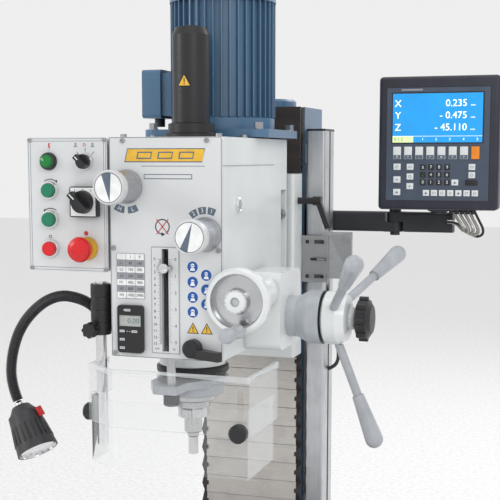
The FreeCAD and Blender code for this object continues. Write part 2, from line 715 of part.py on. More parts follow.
def quill_lock_lever():
    b = new_body("quill_lock_lever", "head")
    turned(b, "hub", "y", (45.4, -317), [(0, -45), (6, -45), (6, -112.3), (14, -112.3), (14, -126),
                                         (11, -130), (0, -130)])
    arm = [(45, -112.5), (50, -128), (96, -146), (99, -136), (60, -116)]
    prism(b, "arm", "z", arm, -331, -317)


def sight_glass():
    b = new_body("sight_glass", "head")
    turned(b, "ring", "x", (-36, -103), [(0, 90), (12, 90), (12, 93), (10, 95), (8, 93.6), (0, 93.6)])


# ---------------------------------------------------------------- motor and gear train

def motor():
    b = new_body("motor_flange", "head")
    block(b, "plate", (-107, 107), (46, 254), (1.8, 15))
    soften(b, "corners", 22, "z")
    rod(b, "foot", "z", (0, "motor_y"), 80, 0, 2)
    rod(b, "bore", "z", (0, "motor_y"), 30, -1, 16, cut=True)

    b = new_body("motor_barrel", "head")
    turned(b, "barrel", "z", (0, "motor_y"), [(72, 36), (82, 36), (82, 226), (72, 226)])
    turned(b, "end_shield", "z", (0, "motor_y"), [(17, 15), (88, 15), (88, 34), (83, 37), (72, 37),
                                                  (72, 24), (17, 24)])
    rib_count = 40
    ribs = lambda sketch: [draw_polygon(sketch, rib_corners(360 * i / rib_count))
                           for i in range(rib_count)]
    extrude(b, "ribs", "z", ribs, 36, 226)
    block(b, "box_seat", (-100, -78), (118, 182), (40, 112))

    b = new_body("fan_cowl", "head")
    turned(b, "cowl", "z", (0, "motor_y"), [(84, 226), (90, 226), (90, 272), (78, 290), (0, 292),
                                            (0, 289), (77, 287), (84, 270)])
    b = new_body("terminal_box", "head")
    block(b, "case", (-134, -100), (112, 188), (36, 118))
    soften(b, "corners", 6, "x")
    rod(b, "gland", "z", (-117, 150), 9, 22, 37)

    b = new_body("motor_stator", "head")
    turned(b, "core", "z", (0, "motor_y"), [(47, 60), (71.7, 60), (71.7, 195), (47, 195)])
    b = new_body("rotor_core", "head")
    turned(b, "rotor", "z", (0, "motor_y"), [(0, -93), (12, -93), (12, 66), (46, 66), (46, 190),
                                             (12, 190), (12, 262), (0, 262)])
    b = new_body("cooling_fan", "head")
    turned(b, "hub", "z", (0, "motor_y"), [(12, 236), (22, 236), (22, 258), (12, 258)])
    blades = lambda sketch: [draw_polygon(sketch, blade_corners(45 * i)) for i in range(8)]
    extrude(b, "blades", "z", blades, 238, 256)


def polar(radius, degrees, centre_y):
    return (radius * math.cos(math.radians(degrees)), centre_y + radius * math.sin(math.radians(degrees)))


def rib_corners(turn):
    """One cooling rib of the motor, 3 mm thick at its root."""
    centre = size("motor_y")
    return [polar(81, turn - 1.1, centre), polar(89, turn - 0.7, centre),
            polar(89, turn + 0.7, centre), polar(81, turn + 1.1, centre)]


def blade_corners(turn):
    centre = size("motor_y")
    return [polar(21, turn - 4, centre), polar(76, turn - 1.5, centre),
            polar(76, turn + 1.5, centre), polar(21, turn + 4, centre)]


def motor_bolts():
    motor_y = size("motor_y")
    places = [(x, motor_y + y) for x in (-92, 92) for y in (-88, 88)]
    heads = [hex_bolt((x, y, 15), (0, 0, 1), 13, 9) for x, y in places]
    feature("motor_bolts", "head", Part.makeCompound(heads))


def gear_train():
    """Motor pinion, intermediate gears and the spindle's sleeve, with meshing teeth."""
    module = size("gear_module")
    motor_y = size("motor_y")
    shaft_y = size("shaft_y")
    half_tooth = lambda teeth: 180 / teeth

    pinion = gear_blank(20, module, 18, 90)
    pinion = pinion.cut(solid_rod((0, 0, -1), (0, 0, 1), 12, 20))
    pinion.translate(V(0, motor_y, -92))
    feature("motor_pinion", "head", pinion)

    upper = gear_blank(36, module, 18, 90 + half_tooth(36))
    upper.translate(V(0, shaft_y, -92))
    lower = gear_blank(24, module, 22, -90)
    lower.translate(V(0, shaft_y, -128))
    shaft = solid_rod((0, shaft_y, -152), (0, 0, 1), 10, 125)
    spacer = solid_rod((0, shaft_y, -107), (0, 0, 1), 16, 16)
    shaft_gears = upper.fuse([lower, shaft, spacer])
    feature("intermediate_gears", "head", shaft_gears)

    wheel = gear_blank(40, module, 22, 90 + half_tooth(40))
    wheel.translate(V(0, 0, -128))
    sleeve = solid_rod((0, 0, -128), (0, 0, 1), 23, 104)
    bore = solid_rod((0, 0, -130), (0, 0, 1), 14 + size("fit"), 110)
    feature("drive_sleeve", "head", wheel.fuse(sleeve).cut(bore))


def sleeve_bearing():
    b = new_body("sleeve_bearing", "head")
    turned(b, "ring", "z", (0, 0), [("23 + fit", -40), (38, -40), (38, -24), ("23 + fit", -24)])


# ---------------------------------------------------------------- spindle, quill and drawbar

def spindle():
    b = new_body("spindle_shaft", "head")
    outline = [("8 + fit", -434), (26.5, -434), (27.5, -432), (27.5, "quill_nose - 0.4"),
               (22, "quill_nose - 0.4"), (22, -170), (13.94, -168), (13.94, 20), ("8 + fit", 20)]
    turned(b, "shaft", "z", (0, 0), outline)


def quill():
    b = new_body("quill_tube", "head")
    outline = [(24, "quill_nose"), (36, "quill_nose"), ("quill_radius", "quill_nose + 2"),
               ("quill_radius", -151), (24, -151)]
    turned(b, "tube", "z", (0, 0), outline)
    block(b, "rack_flat", (-20, 20), (34.3, 38.6), (-345, -150), cut=True)
    block(b, "rack_strip", (-8, 8), (30, "feed_y - 7 * rack_module - 2.5"), (-350, -155))
    module = size("rack_module")
    pitch = math.pi * module
    crest = size("feed_y - 7 * rack_module + 0.8 * rack_module")
    root = crest - 2.25 * module
    middle = (crest + root + 0.25 * module) / 2
    lean = math.tan(math.radians(20))
    first = size("feed_z") - 9.5 * pitch

    def teeth(sketch):
        for i in range(30):
            z = first + i * pitch
            half = pitch / 4 - size("backlash") / 2
            low, high = half + (middle - root) * lean, half - (crest - middle) * lean
            draw_polygon(sketch, [(root - 1, z - low), (crest, z - high), (crest, z + high),
                                  (root - 1, z + low)])
    extrude(b, "teeth", "x", teeth, -7.5, 7.5)


def spindle_bearings():
    b = new_body("spindle_bearings", "head", several=True)
    rings = [("22 + fit", 0), (24, 0), (24, 16), ("22 + fit", 16)]
    for name, low in (("lower", -419), ("middle", -400), ("upper", -190)):
        turned(b, name, "z", (0, 0), [(radius, low + rise) for radius, rise in rings])


def drawbar():
    rod_z = -428
    body = solid_rod((0, 0, rod_z), (0, 0, 1), 8, 50 - rod_z)
    nut = hex_prism((0, 0, 20.3), (0, 0, 1), 24, 18)
    feature("drawbar", "head", body.fuse(nut))


def drawbar_cover():
    b = new_body("drawbar_cover", "head")
    outline = [(26, 0), (43, 0), (43, 6), (37, 8), (37, 22), (29.6, 24), (29.6, 160), (24, 172),
               (0, 176), (0, 172), (22, 168), (26, 158)]
    turned(b, "cap", "z", (0, 0), outline)


def chuck():
    b = new_body("chuck_body", "head")
    outline = [(0, -476), (13, -476), (14.5, -474), (14.5, -452), (19, -450), (24.5, -449),
               (24.5, -434), (0, -434)]
    turned(b, "body", "z", (0, 0), outline)
    b = new_body("end_mill", "head")
    turned(b, "shank", "z", (0, 0), [(0, -512), (8, -512), (8, -484), (9.5, -482), (9.5, -476), (0, -476)])
    b = new_body("drive_keys", "head", several=True)
    for name, low, high in (("front", -30, -24.6), ("back", 24.6, 30)):
        block(b, name, (-8, 8), (low, high), (-447, -434.2))


def quill_collar():
    b = new_body("quill_collar", "head")
    turned(b, "ring", "z", (0, 0), [("quill_radius", -411), (47, -411), (50, -408), (50, -394),
                                    (58, -388), (58, -382), (54, -380), ("quill_radius", -380)])
    arm = [(-44, -36), (-44, -70), (-24, -108), (14, -108), (16, -70), (44, -36)]
    prism(b, "arm", "z", arm, -394, -381)
    rod(b, "rod_hole", "z", (0, "depth_rod_y"), 7, -395, -380, cut=True)
    rod(b, "quill_hole", "z", (0, 0), "quill_radius", -412, -379, cut=True)


def depth_rod():
    b = new_body("depth_rod", "head")
    turned(b, "rod", "z", (0, "depth_rod_y"), [(0, -398), (7, -398), (7, -175), (6, -174), (0, -174)])
    b = new_body("depth_nut", "head")
    turned(b, "knurled_nut", "z", (0, "depth_rod_y"), [(0, -413), (11, -413), (12.7, -411),
                                                       (12.7, -396), (11, -394.2), (7, -394.2),
                                                       (7, -398.3), (0, -398.3)])
    b = new_body("depth_pointer", "head")
    block(b, "finger", (-3.5, 3.5), (-116, -99.2), (-201, -193))
    block(b, "face", (-12, 11), (-117.5, -114.5), (-200, -194))


def dust_ring():
    b = new_body("dust_ring", "head")
    turned(b, "ring", "z", (0, 0), [(39.8, -374), (57, -374), (58.5, -371), (58.5, -364), (54.3, -361.3),
                                    (39.8, -361.3)])


# ---------------------------------------------------------------- quill feed

def feed_gearbox():
    b = new_body("feed_gearbox", "head")
    block(b, "case", ("head_half", 150), (-8, 108), (-334, -211))
    soften(b, "edges", 14, "x")
    rod(b, "worm_tube", "y", ("worm_x", "worm_z"), 27, -62, 0)
    rod(b, "wheel_room", "x", ("feed_y", "feed_z"), 38, 105, 132, cut=True)
    rod(b, "worm_room", "y", ("worm_x", "worm_z"), 14.5, 8, 94, cut=True)
    rod(b, "worm_bore", "y", ("worm_x", "worm_z"), "7 + fit", -63, 100, cut=True)
    rod(b, "shaft_bore", "x", ("feed_y", "feed_z"), "12 + fit", 89, 151, cut=True)
    rod(b, "room_mouth", "x", ("feed_y", "feed_z"), 17.2, 89, 92, cut=True)
    turned(b, "feed_flare", "x", ("feed_y", "feed_z"), [(12.06, 150), (33, 150), (33, 165), (41, 180),
                                                        (41, 183), (12.06, 183)])


def feed_shaft():
    module = size("rack_module")
    centre = (0, size("feed_y"), size("feed_z"))
    shaft = solid_rod((-58, centre[1], centre[2]), (1, 0, 0), 12, 58 + 258)
    gear = gear_blank(14, module, 26, 180)
    gear.rotate(V(0, 0, 0), V(0, 1, 0), 90)
    gear.rotate(V(0, 0, 0), V(1, 0, 0), 90)
    gear.translate(V(-13, centre[1], centre[2]))
    neck = solid_rod((-28, centre[1], centre[2]), (1, 0, 0), 17, 56)
    shaft = shaft.cut(neck)
    core = solid_rod((-28, centre[1], centre[2]), (1, 0, 0), 11, 56)
    feature("feed_shaft", "head", shaft.fuse([core, gear]))


def fine_feed():
    b = new_body("worm_wheel", "head")
    turned(b, "wheel", "x", ("feed_y", "feed_z"), [("12 + fit", 106), (31, 106), (31, 113), (29, 117),
                                                   (29, 123), (31, 127), (31, 131), ("12 + fit", 131)])
    b = new_body("worm_shaft", "head")
    turned(b, "worm", "y", ("worm_x", "worm_z"), [(0, -134), (7, -134), (7, 12), (13.5, 12),
                                                  (13.5, 90), (7, 90), (7, 98), (0, 98)])
    b = new_body("fine_feed_dial", "head")
    turned(b, "ring", "y", ("worm_x", "worm_z"), [(7, -62.4), (27, -62.4), (27, -76), (22, -80), (7, -80)])
    b = new_body("fine_wheel", "head")
    outline = [(7, -100), (15, -100), (16, -119), (38, -117), (41, -114), (47, -114), (49.5, -118),
               (49.5, -128), (46, -133), (41, -132), (38, -123), (20, -126), (18, -137), (7, -139)]
    turned(b, "wheel", "y", ("worm_x", "worm_z"), outline)
    crank_grip("fine_feed_grip", "y", (126, -283), -131, -1, group="head")


def feed_hub():
    b = new_body("feed_dial", "head")
    turned(b, "ring", "x", ("feed_y", "feed_z"), [(12, 183.4), (43, 183.4), (43, 206), (39, 208), (12, 208)])
    b = new_body("hub_body", "head")
    outline = [(12, 208.3), (38, 208.3), (42.5, 212), (42.5, 232), (36, 246), (20, 250), (16, 258),
               (12, 258)]
    turned(b, "hub", "x", ("feed_y", "feed_z"), outline)
    b = new_body("clutch_knob", "head")
    lobes = 8
    turned(b, "core", "x", ("feed_y", "feed_z"), [(0, 258.4), (20, 258.4), (31, 263), (31, 279),
                                                  (22, 285), (0, 286)])
    bumps = [(f"feed_y + {31 * math.cos(2 * math.pi * i / lobes):.3f}",
              f"feed_z + {31 * math.sin(2 * math.pi * i / lobes):.3f}") for i in range(lobes)]
    rods(b, "lobes", "x", bumps, 5, 264, 278)


LEVER_LEAN = 68      # degrees between each feed lever and the +X axis
LEVER_TURNS = (148, 28, 268)   # degrees about the feed axis from +Y towards +Z
LEVER_ROOT = 30      # where a lever leaves its hub, from the feed axis
LEVER_LENGTH = 190   # from the root to the tip of the grip


def lever_frame(turn):
    """The root point and the direction of one feed lever."""
    lean = math.radians(LEVER_LEAN)
    angle = math.radians(turn)
    across = V(0, math.cos(angle), math.sin(angle))
    root = V(226, size("feed_y"), size("feed_z")) + across * LEVER_ROOT
    return root, V(math.cos(lean), 0, 0) + across * math.sin(lean)


def feed_levers():
    hub_face = Part.makeCylinder(42.6, 60, V(200, size("feed_y"), size("feed_z")), V(1, 0, 0))
    stems, grips = [], []
    for turn in LEVER_TURNS:
        root, run = lever_frame(turn)
        stem = Part.makeCylinder(7, LEVER_LENGTH - 90, root, run)
        stems.append(stem.cut(hub_face))
        start = root + run * (LEVER_LENGTH - 90)
        taper = Part.makeCone(9.5, 14.5, 74, start, run)
        cap = Part.makeSphere(14.5, start + run * 74)
        grips.append(taper.fuse(cap).removeSplitter())
    feature("feed_levers", "head", Part.makeCompound(stems))
    feature("feed_grips", "head", Part.makeCompound(grips))


# ---------------------------------------------------------------- control box

BUTTONS = (("start_button", -81.4), ("second_start_button", -126.5), ("stop_button", -172))
BUTTON_X = -192.4
PILOT = (-193.7, -36.7)
SELECTOR = (-131.2, -36.9)
MAIN_SWITCH = (-130.5, -98.4)
STOP = (-130, -170.4)


def control_box():
    b = new_body("box_case", "head")
    block(b, "case", ("box_left", "box_right"), ("lid_back", "box_back"), ("box_floor", 0))
    soften(b, "corners", 8, "y")
    block(b, "room", ("box_left + 4", "box_right - 4"), ("lid_back - 1", "box_back - 4"),
          ("box_floor + 4", -4), cut=True)
    block(b, "hanger", ("box_right - 1", "-head_half"), (-90, -40), (-180, -30))
    b = new_body("lid_plate", "head")
    block(b, "plate", ("box_left", "box_right"), ("panel_front", "lid_back"), ("box_floor", 0))
    soften(b, "corners", 8, "y")
    holes = [(BUTTON_X, z) for _, z in BUTTONS] + [PILOT, SELECTOR, MAIN_SWITCH, STOP]
    rods(b, "holes", "y", holes, 8, -113, -104, cut=True)
    places = [(x, z) for x in (-227, -99) for z in (-4, -203)]
    screws = [socket_screw((x, size("panel_front"), z), (0, -1, 0), 3.2, 1.8) for x, z in places]
    feature("lid_screws", "head", Part.makeCompound(screws))
    b = new_body("contactor", "head")
    block(b, "case", (-205, -160), (-85, -32), (-110, -30))
    block(b, "contacts", (-202, -163), (-90, -84), (-100, -40))


def switch_grip(body, centre, half_width, half_length, near, far):
    """A switch's grip bar, running down to the right across its base."""
    x, z = centre
    across = math.sqrt(0.5)
    corners = []
    for along, side in ((1, 1), (1, -1), (-1, -1), (-1, 1)):
        run = along * half_length * across
        wide = side * half_width * across
        corners.append((x - run + wide, z + run + wide))
    prism(body, "grip", "y", corners, near, far)


def controls():
    """The buttons, switches and lamp on the lid."""
    b = new_body("button_collars", "head", several=True)
    for number, (_, z) in enumerate(BUTTONS):
        turned(b, f"collar_{number}", "y", (BUTTON_X, z), [(11.3, -112), (14.4, -112), (13.6, -119), (11.3, -119)])
    for name, z in BUTTONS:
        b = new_body(name, "head")
        turned(b, "cap", "y", (BUTTON_X, z), [(0, -96), (6, -96), (6, -117), (11, -117), (11, -122.5),
                                              (10, -124), (0, -124)])
    b = new_body("pilot_lamp", "head")
    turned(b, "bezel", "y", PILOT, [(0, -96), (7, -96), (7, -112), (14, -112), (13, -118), (9, -120),
                                    (8, -126), (0, -128)])
    b = new_body("light_selector", "head")
    turned(b, "base", "y", SELECTOR, [(0, -96), (7, -96), (7, -112.3), (13.2, -112.3), (12.6, -119),
                                      (11.6, -119), (11.2, -124), (0, -124)])
    switch_grip(b, SELECTOR, 4, 12, -134, -123)
    x, z = MAIN_SWITCH
    b = new_body("switch_plate", "head")
    block(b, "plate", (x - 22.7, x + 22.7), (-124, "panel_front"), (z - 23.4, z + 23.5))
    soften(b, "corners", 3, "y")
    rod(b, "hole", "y", MAIN_SWITCH, 7.8, -125, -111, cut=True)
    b = new_body("main_switch", "head")
    turned(b, "base", "y", MAIN_SWITCH, [(0, -98), (7, -98), (7, -124.4), (18, -124.4), (17, -132), (0, -132)])
    switch_grip(b, MAIN_SWITCH, 4.6, 19, -146, -131)
    b = new_body("stop_base", "head")
    turned(b, "ring", "y", STOP, [(8.3, -112), (18, -112), (18, -117), (15, -123), (8.3, -123)])
    b = new_body("emergency_stop", "head")
    outline = [(0, -96), (7, -96), (7, -130), (12, -133), (18.5, -135), (19.5, -140)]
    outline += [(17.5, -145), (10, -148), (0, -149)]
    turned(b, "mushroom", "y", STOP, outline)


# ---------------------------------------------------------------- guard and lamp

def guard():
    b = new_body("clamp_block", "head")
    block(b, "plate", (-100, "-head_half"), (-98, -62), (-300, -228))
    block(b, "bridge", (-112, -99), (-98, -74), (-290, -236))
    rod(b, "rod_block", "z", ("rod_x", "rod_y"), 15, -305, -226)
    block(b, "socket_arm", (-130, -112), (-100, -76), (-304, -292))
    rod(b, "lamp_socket", "z", (-126, "lamp_y"), 12, -304, -292)
    rod(b, "rod_bore", "z", ("rod_x", "rod_y"), "rod_radius + fit", -306, -225, cut=True)
    b = new_body("guard_rod", "head")
    turned(b, "rod", "z", ("rod_x", "rod_y"), [(0, -480), ("rod_radius", -480), ("rod_radius", -222), (0, -222)])
    outer = [(-130, -50), (-130, -116), (-78, -150), (147, -150), (147, -10)]
    b = new_body("guard_shell", "head")
    top, bottom = size("guard_rim"), -440.0
    wall = guard_wall(outer, 3.0)
    prism(b, "wall", "z", wall, bottom, top)
    prism(b, "rim", "z", guard_wall([(-131.5, -50), (-131.5, -117), (-78.5, -151.5), (148.5, -151.5),
                                     (148.5, -10)], 6.0), top - 9, top)
    block(b, "rod_web", (-128, -103), (-112, -88), (-396, -362))
    rod(b, "rod_bore", "z", ("rod_x", "rod_y"), "rod_radius + fit", -397, -361, cut=True)
    block(b, "front_slot", (126, 138), (-160, -146), (-445, -376), cut=True)
    rod(b, "slot_top", "y", (132, -376), 6, -160, -146, cut=True)
    block(b, "side_slot", (-135, -126.8), (-98, -86), (-445, -424), cut=True)
    b = new_body("slider_sheet", "head")
    inner = [(-126.4, -60), (-126.4, -113.5), (-76.5, -146.4), (143.4, -146.4), (143.4, -20)]
    prism(b, "wall", "z", guard_wall(inner, 2.6), -505, -400)
    b = new_body("guard_knobs", "head", several=True)
    turned(b, "front", "y", (132, -432), [(0, -146.4), (5, -146.4), (5, -150.4), (14, -154), (14, -164),
                                          (11, -168), (0, -168)])
    turned(b, "side", "x", (-92, -432), [(0, -126.4), (5, -126.4), (5, -130.4), (14, -134), (14, -144),
                                         (11, -148), (0, -148)])
    b = new_body("clamp_knob", "head")
    turned(b, "knob", "y", (-121, -296), [(0, -108), (4, -108), (4, -120), (11, -121), (11, -130),
                                          (9, -132), (0, -132)])


def guard_wall(outer, thickness):
    """The closed outline of a bent sheet, given its outer corners from end to end."""
    def inward(before, corner, after):
        one = V(corner[0] - before[0], corner[1] - before[1], 0).normalize()
        two = V(after[0] - corner[0], after[1] - corner[1], 0).normalize()
        left = V(-one.y, one.x, 0)
        right = V(-two.y, two.x, 0)
        halfway = (left + right).normalize()
        step = halfway * (thickness / halfway.dot(left))
        return corner[0] + step.x, corner[1] + step.y
    inner = []
    for i, corner in enumerate(outer):
        before = outer[i - 1] if i else (2 * corner[0] - outer[1][0], 2 * corner[1] - outer[1][1])
        last = i == len(outer) - 1
        after = (2 * corner[0] - outer[i - 1][0], 2 * corner[1] - outer[i - 1][1]) if last else outer[i + 1]
        inner.append(inward(before, corner, after))
    return list(outer) + inner[::-1]


# the gooseneck's corners in the plane of the lamp, as (x, z)
GOOSENECK = ((-126, -291.6), (-126, -279), (-142, -263), (-166, -253), (-198, -249.5), (-234, -265),
             (-271, -303), (-289, -352), (-291.5, -400), (-279, -428))


def lamp():
    radius = 9.0
    y = size("lamp_y")
    points = [V(x, y, z) for x, z in GOOSENECK]
    edges, start = [], points[0]
    for i in range(1, len(points) - 1):
        before, corner, after = points[i - 1], points[i], points[i + 1]
        one, two = (corner - before), (after - corner)
        trim = 0.42 * min(one.Length, two.Length)
        enter = corner - V(one).normalize() * trim
        leave = corner + V(two).normalize() * trim
        turn = one.getAngle(two)
        bisector = (V(two).normalize() - V(one).normalize()).normalize()
        bend = trim / math.tan(turn / 2)
        middle = corner + bisector * (math.hypot(bend, trim) - bend)
        edges += [Part.makeLine(start, enter), Part.Arc(enter, middle, leave).toShape()]
        start = leave
    edges.append(Part.makeLine(start, points[-1]))
    spine = Part.Wire(edges)
    ring = Part.Wire(Part.makeCircle(radius, points[0], points[1] - points[0]))
    hose = spine.makePipeShell([ring], True, False)
    run = V(0.52, -0.25, -0.82).normalize()
    end = V(points[-1]) + V(points[-1] - points[-2]).normalize() * 8
    ball = Part.makeCylinder(5, 8, points[-1], end - points[-1]).fuse(Part.makeSphere(8, end))
    feature("lamp_gooseneck", "head", hose.fuse(ball))

    neck = end + run * 3
    collar = Part.makeCone(15, 24, 14, neck, run).cut(Part.makeSphere(8.4, end))
    barrel = Part.makeCone(26, 34, 66, neck + run * 14, run)
    room = Part.makeCone(24, 32, 62, neck + run * 19, run)
    feature("lamp_shade", "head", collar.fuse(barrel).cut(room))
    bowl = Part.makeCone(27.5, 31.5, 6, neck + run * 70, run)
    feature("lamp_lens", "head", bowl)
    side = V(run.z, 0, -run.x).normalize()
    rocker = Part.makeBox(16, 11, 5, V(-8, -5.5, 0))
    rocker.Placement = FreeCAD.Placement(neck + run * 24 - side * 29,
                                         FreeCAD.Rotation(V(0, 0, 1), side * -1))
    feature("lamp_switch", "head", rocker)


# ---------------------------------------------------------------- scale reader and digital readout

def reader_bracket():
    b = new_body("reader_plates", "head")
    block(b, "inner_plate", (88.3, 150), (294.3, 301), (-257, -172))
    block(b, "outer_plate", (138, 192), (300, 308), (-250, -165))
    block(b, "reader", (140, 158), (306, 374), (-235, -185))
    places = [(x, z) for x in (112, 140) for z in (-183, -246)]
    heads = [socket_screw((x, 294.3, z), (0, -1, 0), 5, 5) for x, z in places]
    places = [(180, -180), (180, -235)]
    heads += [socket_screw((x, 300, z), (0, -1, 0), 5, 5) for x, z in places]
    feature("bracket_screws", "head", Part.makeCompound(heads))


def readout_arm():
    low, high = "arm_z - arm_half", "arm_z + arm_half"
    sides = ("arm_y - 15", "arm_y + 15")
    b = new_body("arm_mount", "floor")
    block(b, "pad", ("column_half", 107), ("arm_y - 17", "arm_y + 48"), ("arm_z - 34", "arm_z + 34"))
    b = new_body("arm_tube", "floor")
    block(b, "tube", (107, "elbow_x - 18"), sides, (low, high))
    soften(b, "corners", 5, "x")
    block(b, "lug", ("elbow_x - 19", "elbow_x"), sides, (low, "arm_z - 0.3"))
    rod(b, "knuckle", "z", ("elbow_x", "arm_y"), 15, low, "arm_z - 0.3")
    rod(b, "pin_hole", "z", ("elbow_x", "arm_y"), 6, "arm_z - 20", "arm_z + 1", cut=True)
    b = new_body("arm_outer", "floor")
    block(b, "tube", ("elbow_x + 18", "readout_x + 20"), sides, (low, high))
    soften(b, "corners", 5, "x")
    block(b, "lug", ("elbow_x", "elbow_x + 19"), sides, ("arm_z + 0.3", high))
    rod(b, "knuckle", "z", ("elbow_x", "arm_y"), 15, "arm_z + 0.3", high)
    rod(b, "pin_hole", "z", ("elbow_x", "arm_y"), "6 + fit", "arm_z - 1", "arm_z + 20", cut=True)
    b = new_body("elbow_pin", "floor")
    turned(b, "pin", "z", ("elbow_x", "arm_y"), [(0, "arm_z - 25"), (9, "arm_z - 25"), (9, low), (6, low),
                                                 (6, "arm_z + 18.8"), (11, "arm_z + 18.8"),
                                                 (11, "arm_z + 24"), (0, "arm_z + 24")])
    b = new_body("readout_neck", "floor")
    rod(b, "disc", "z", ("readout_x", "arm_y"), 14.5, "arm_z + arm_half + 0.3", "readout_floor - 2")
    block(b, "foot", ("readout_x - 14", "readout_x + 14"), (352, "arm_y"),
          ("arm_z + arm_half + 0.6", "readout_floor"))


# the readout's white and black keys from its centre: (x, z, width, height)
READOUT_KEYS = (
    [(-71.9, z, 13, 11.4) for z in (-41.4, -64.1, -86.5)]
    + [(-48.4, z, 12.3, 11) for z in (-41.4, -58.6, -75.8)]
    + [(-25.4 + 14.3 * i, -41.9 - 13.4 * line, 10, 10) for line in range(3) for i in range(4)]
    + [(31.4, -68.7, 12, 10.5), (60.7, -41.5, 11.6, 11), (60.7, -55.6, 11.6, 11), (60.2, -68.9, 21.5, 9.8)]
    + [(-19.4 + 14.35 * i, -87.5, 11.3, 10.7) for i in range(7)]
)
SOFT_KEYS = [(-72.3 + 19.77 * i, -16.7, 14, 22) for i in range(8)]


def readout():
    sides = ("readout_x - readout_half", "readout_x + readout_half")
    b = new_body("readout_shell", "floor")
    block(b, "shell", sides, (325, 372), ("readout_floor", "readout_top"))
    soften(b, "corners", 12, "y")
    block(b, "bulge", ("readout_x - 80", "readout_x + 80"), (371, 384), ("readout_floor + 24", "readout_top - 24"))
    block(b, "recess", ("readout_x - 92", "readout_x + 90"), (324, 331), (893, 1092), cut=True)
    block(b, "room", ("readout_x - 88", "readout_x + 86"), (330, 366), (897, 1088), cut=True)
    b = new_body("readout_panel", "floor")
    block(b, "plate", ("readout_x - 91.9", "readout_x + 89.9"), (326.4, 331), (893.1, 1091.9))
    block(b, "window", ("readout_x - 81", "readout_x + 78"), (326, 329), (995, 1082), cut=True)
    b = new_body("readout_screen", "floor")
    block(b, "glass", ("readout_x - 80.9", "readout_x + 77.9"), (327.4, 329), (995.1, 1081.9))
    b = new_body("readout_keys", "floor", several=True)
    middle = "0.5 * readout_floor + 0.5 * readout_top"
    for number, (x, z, width, height) in enumerate(SOFT_KEYS + READOUT_KEYS):
        across = (f"readout_x + {x - width / 2}", f"readout_x + {x + width / 2}")
        upward = (f"{middle} + {z - height / 2}", f"{middle} + {z + height / 2}")
        block(b, f"key_{number}", across, (325.2, 326.4), upward)


# node: the pieces that share it, each a solid of its own
GROUPS = {
    "base_casting": ("base_body", "y_bracket"),
    "column": ("column_casting", "column_bolts"),
    "z_scale_cover": ("scale_profile", "scale_caps", "scale_brackets"),
    "arm_inner": ("arm_mount", "arm_tube", "elbow_pin"),
    "y_saddle": ("saddle_casting", "x_nut", "y_nut", "saddle_gib"),
    "table_fittings": ("end_brackets", "table_gib"),
    "x_leadscrew": ("x_screw", "x_dial"),
    "x_handwheels": ("x_wheel_left", "x_wheel_right", "x_grip_left", "x_grip_right"),
    "y_leadscrew": ("y_screw", "y_dial"),
    "y_handwheel": ("y_wheel", "y_grip"),
    "head_slide": ("slide_casting", "head_gib", "z_nut"),
    "reader_bracket": ("reader_plates", "bracket_screws"),
    "head_fasteners": ("cover_screws", "tilt_bolts", "panel_screws", "motor_bolts", "lid_screws"),
    "head_casting": ("head_shell", "dust_ring", "sight_glass"),
    "head_cover": ("cover_shell", "sleeve_bearing"),
    "front_panel": ("panel_sheet", "depth_scale", "speed_plate", "digital_readout"),
    "motor_housing": ("motor_flange", "motor_barrel", "fan_cowl", "terminal_box", "motor_stator"),
    "motor_rotor": ("rotor_core", "cooling_fan", "motor_pinion"),
    "spindle": ("spindle_shaft", "drawbar"),
    "quill": ("quill_tube", "spindle_bearings"),
    "depth_stop": ("depth_rod", "depth_nut", "depth_pointer"),
    "collet_chuck": ("chuck_body", "drive_keys", "end_mill"),
    "feed_hub": ("hub_body", "feed_dial", "feed_shaft"),
    "fine_feed_wheel": ("fine_wheel", "worm_shaft", "fine_feed_dial", "fine_feed_grip"),
    "control_box": ("box_case", "contactor"),
    "box_lid": ("lid_plate", "button_collars", "pilot_lamp", "switch_plate", "stop_base"),
    "guard_clamp": ("clamp_block", "guard_rod", "clamp_knob"),
    "guard_slider": ("slider_sheet", "guard_knobs"),
    "lamp_head": ("lamp_shade", "lamp_lens"),
    "readout_case": ("readout_shell", "readout_neck", "readout_panel", "readout_screen", "readout_keys"),
}


def join_groups():
    """Puts the pieces that share a node into one compound, which is then the piece written."""
    found = {item.Label: item for item in PIECES}
    for label, members in GROUPS.items():
        compound = DOC.addObject("Part::Compound", label)
        compound.Label = label
        compound.Links = [found[name] for name in members]
        PIECES.append(compound)
        for name in members:
            PIECES.remove(found[name])


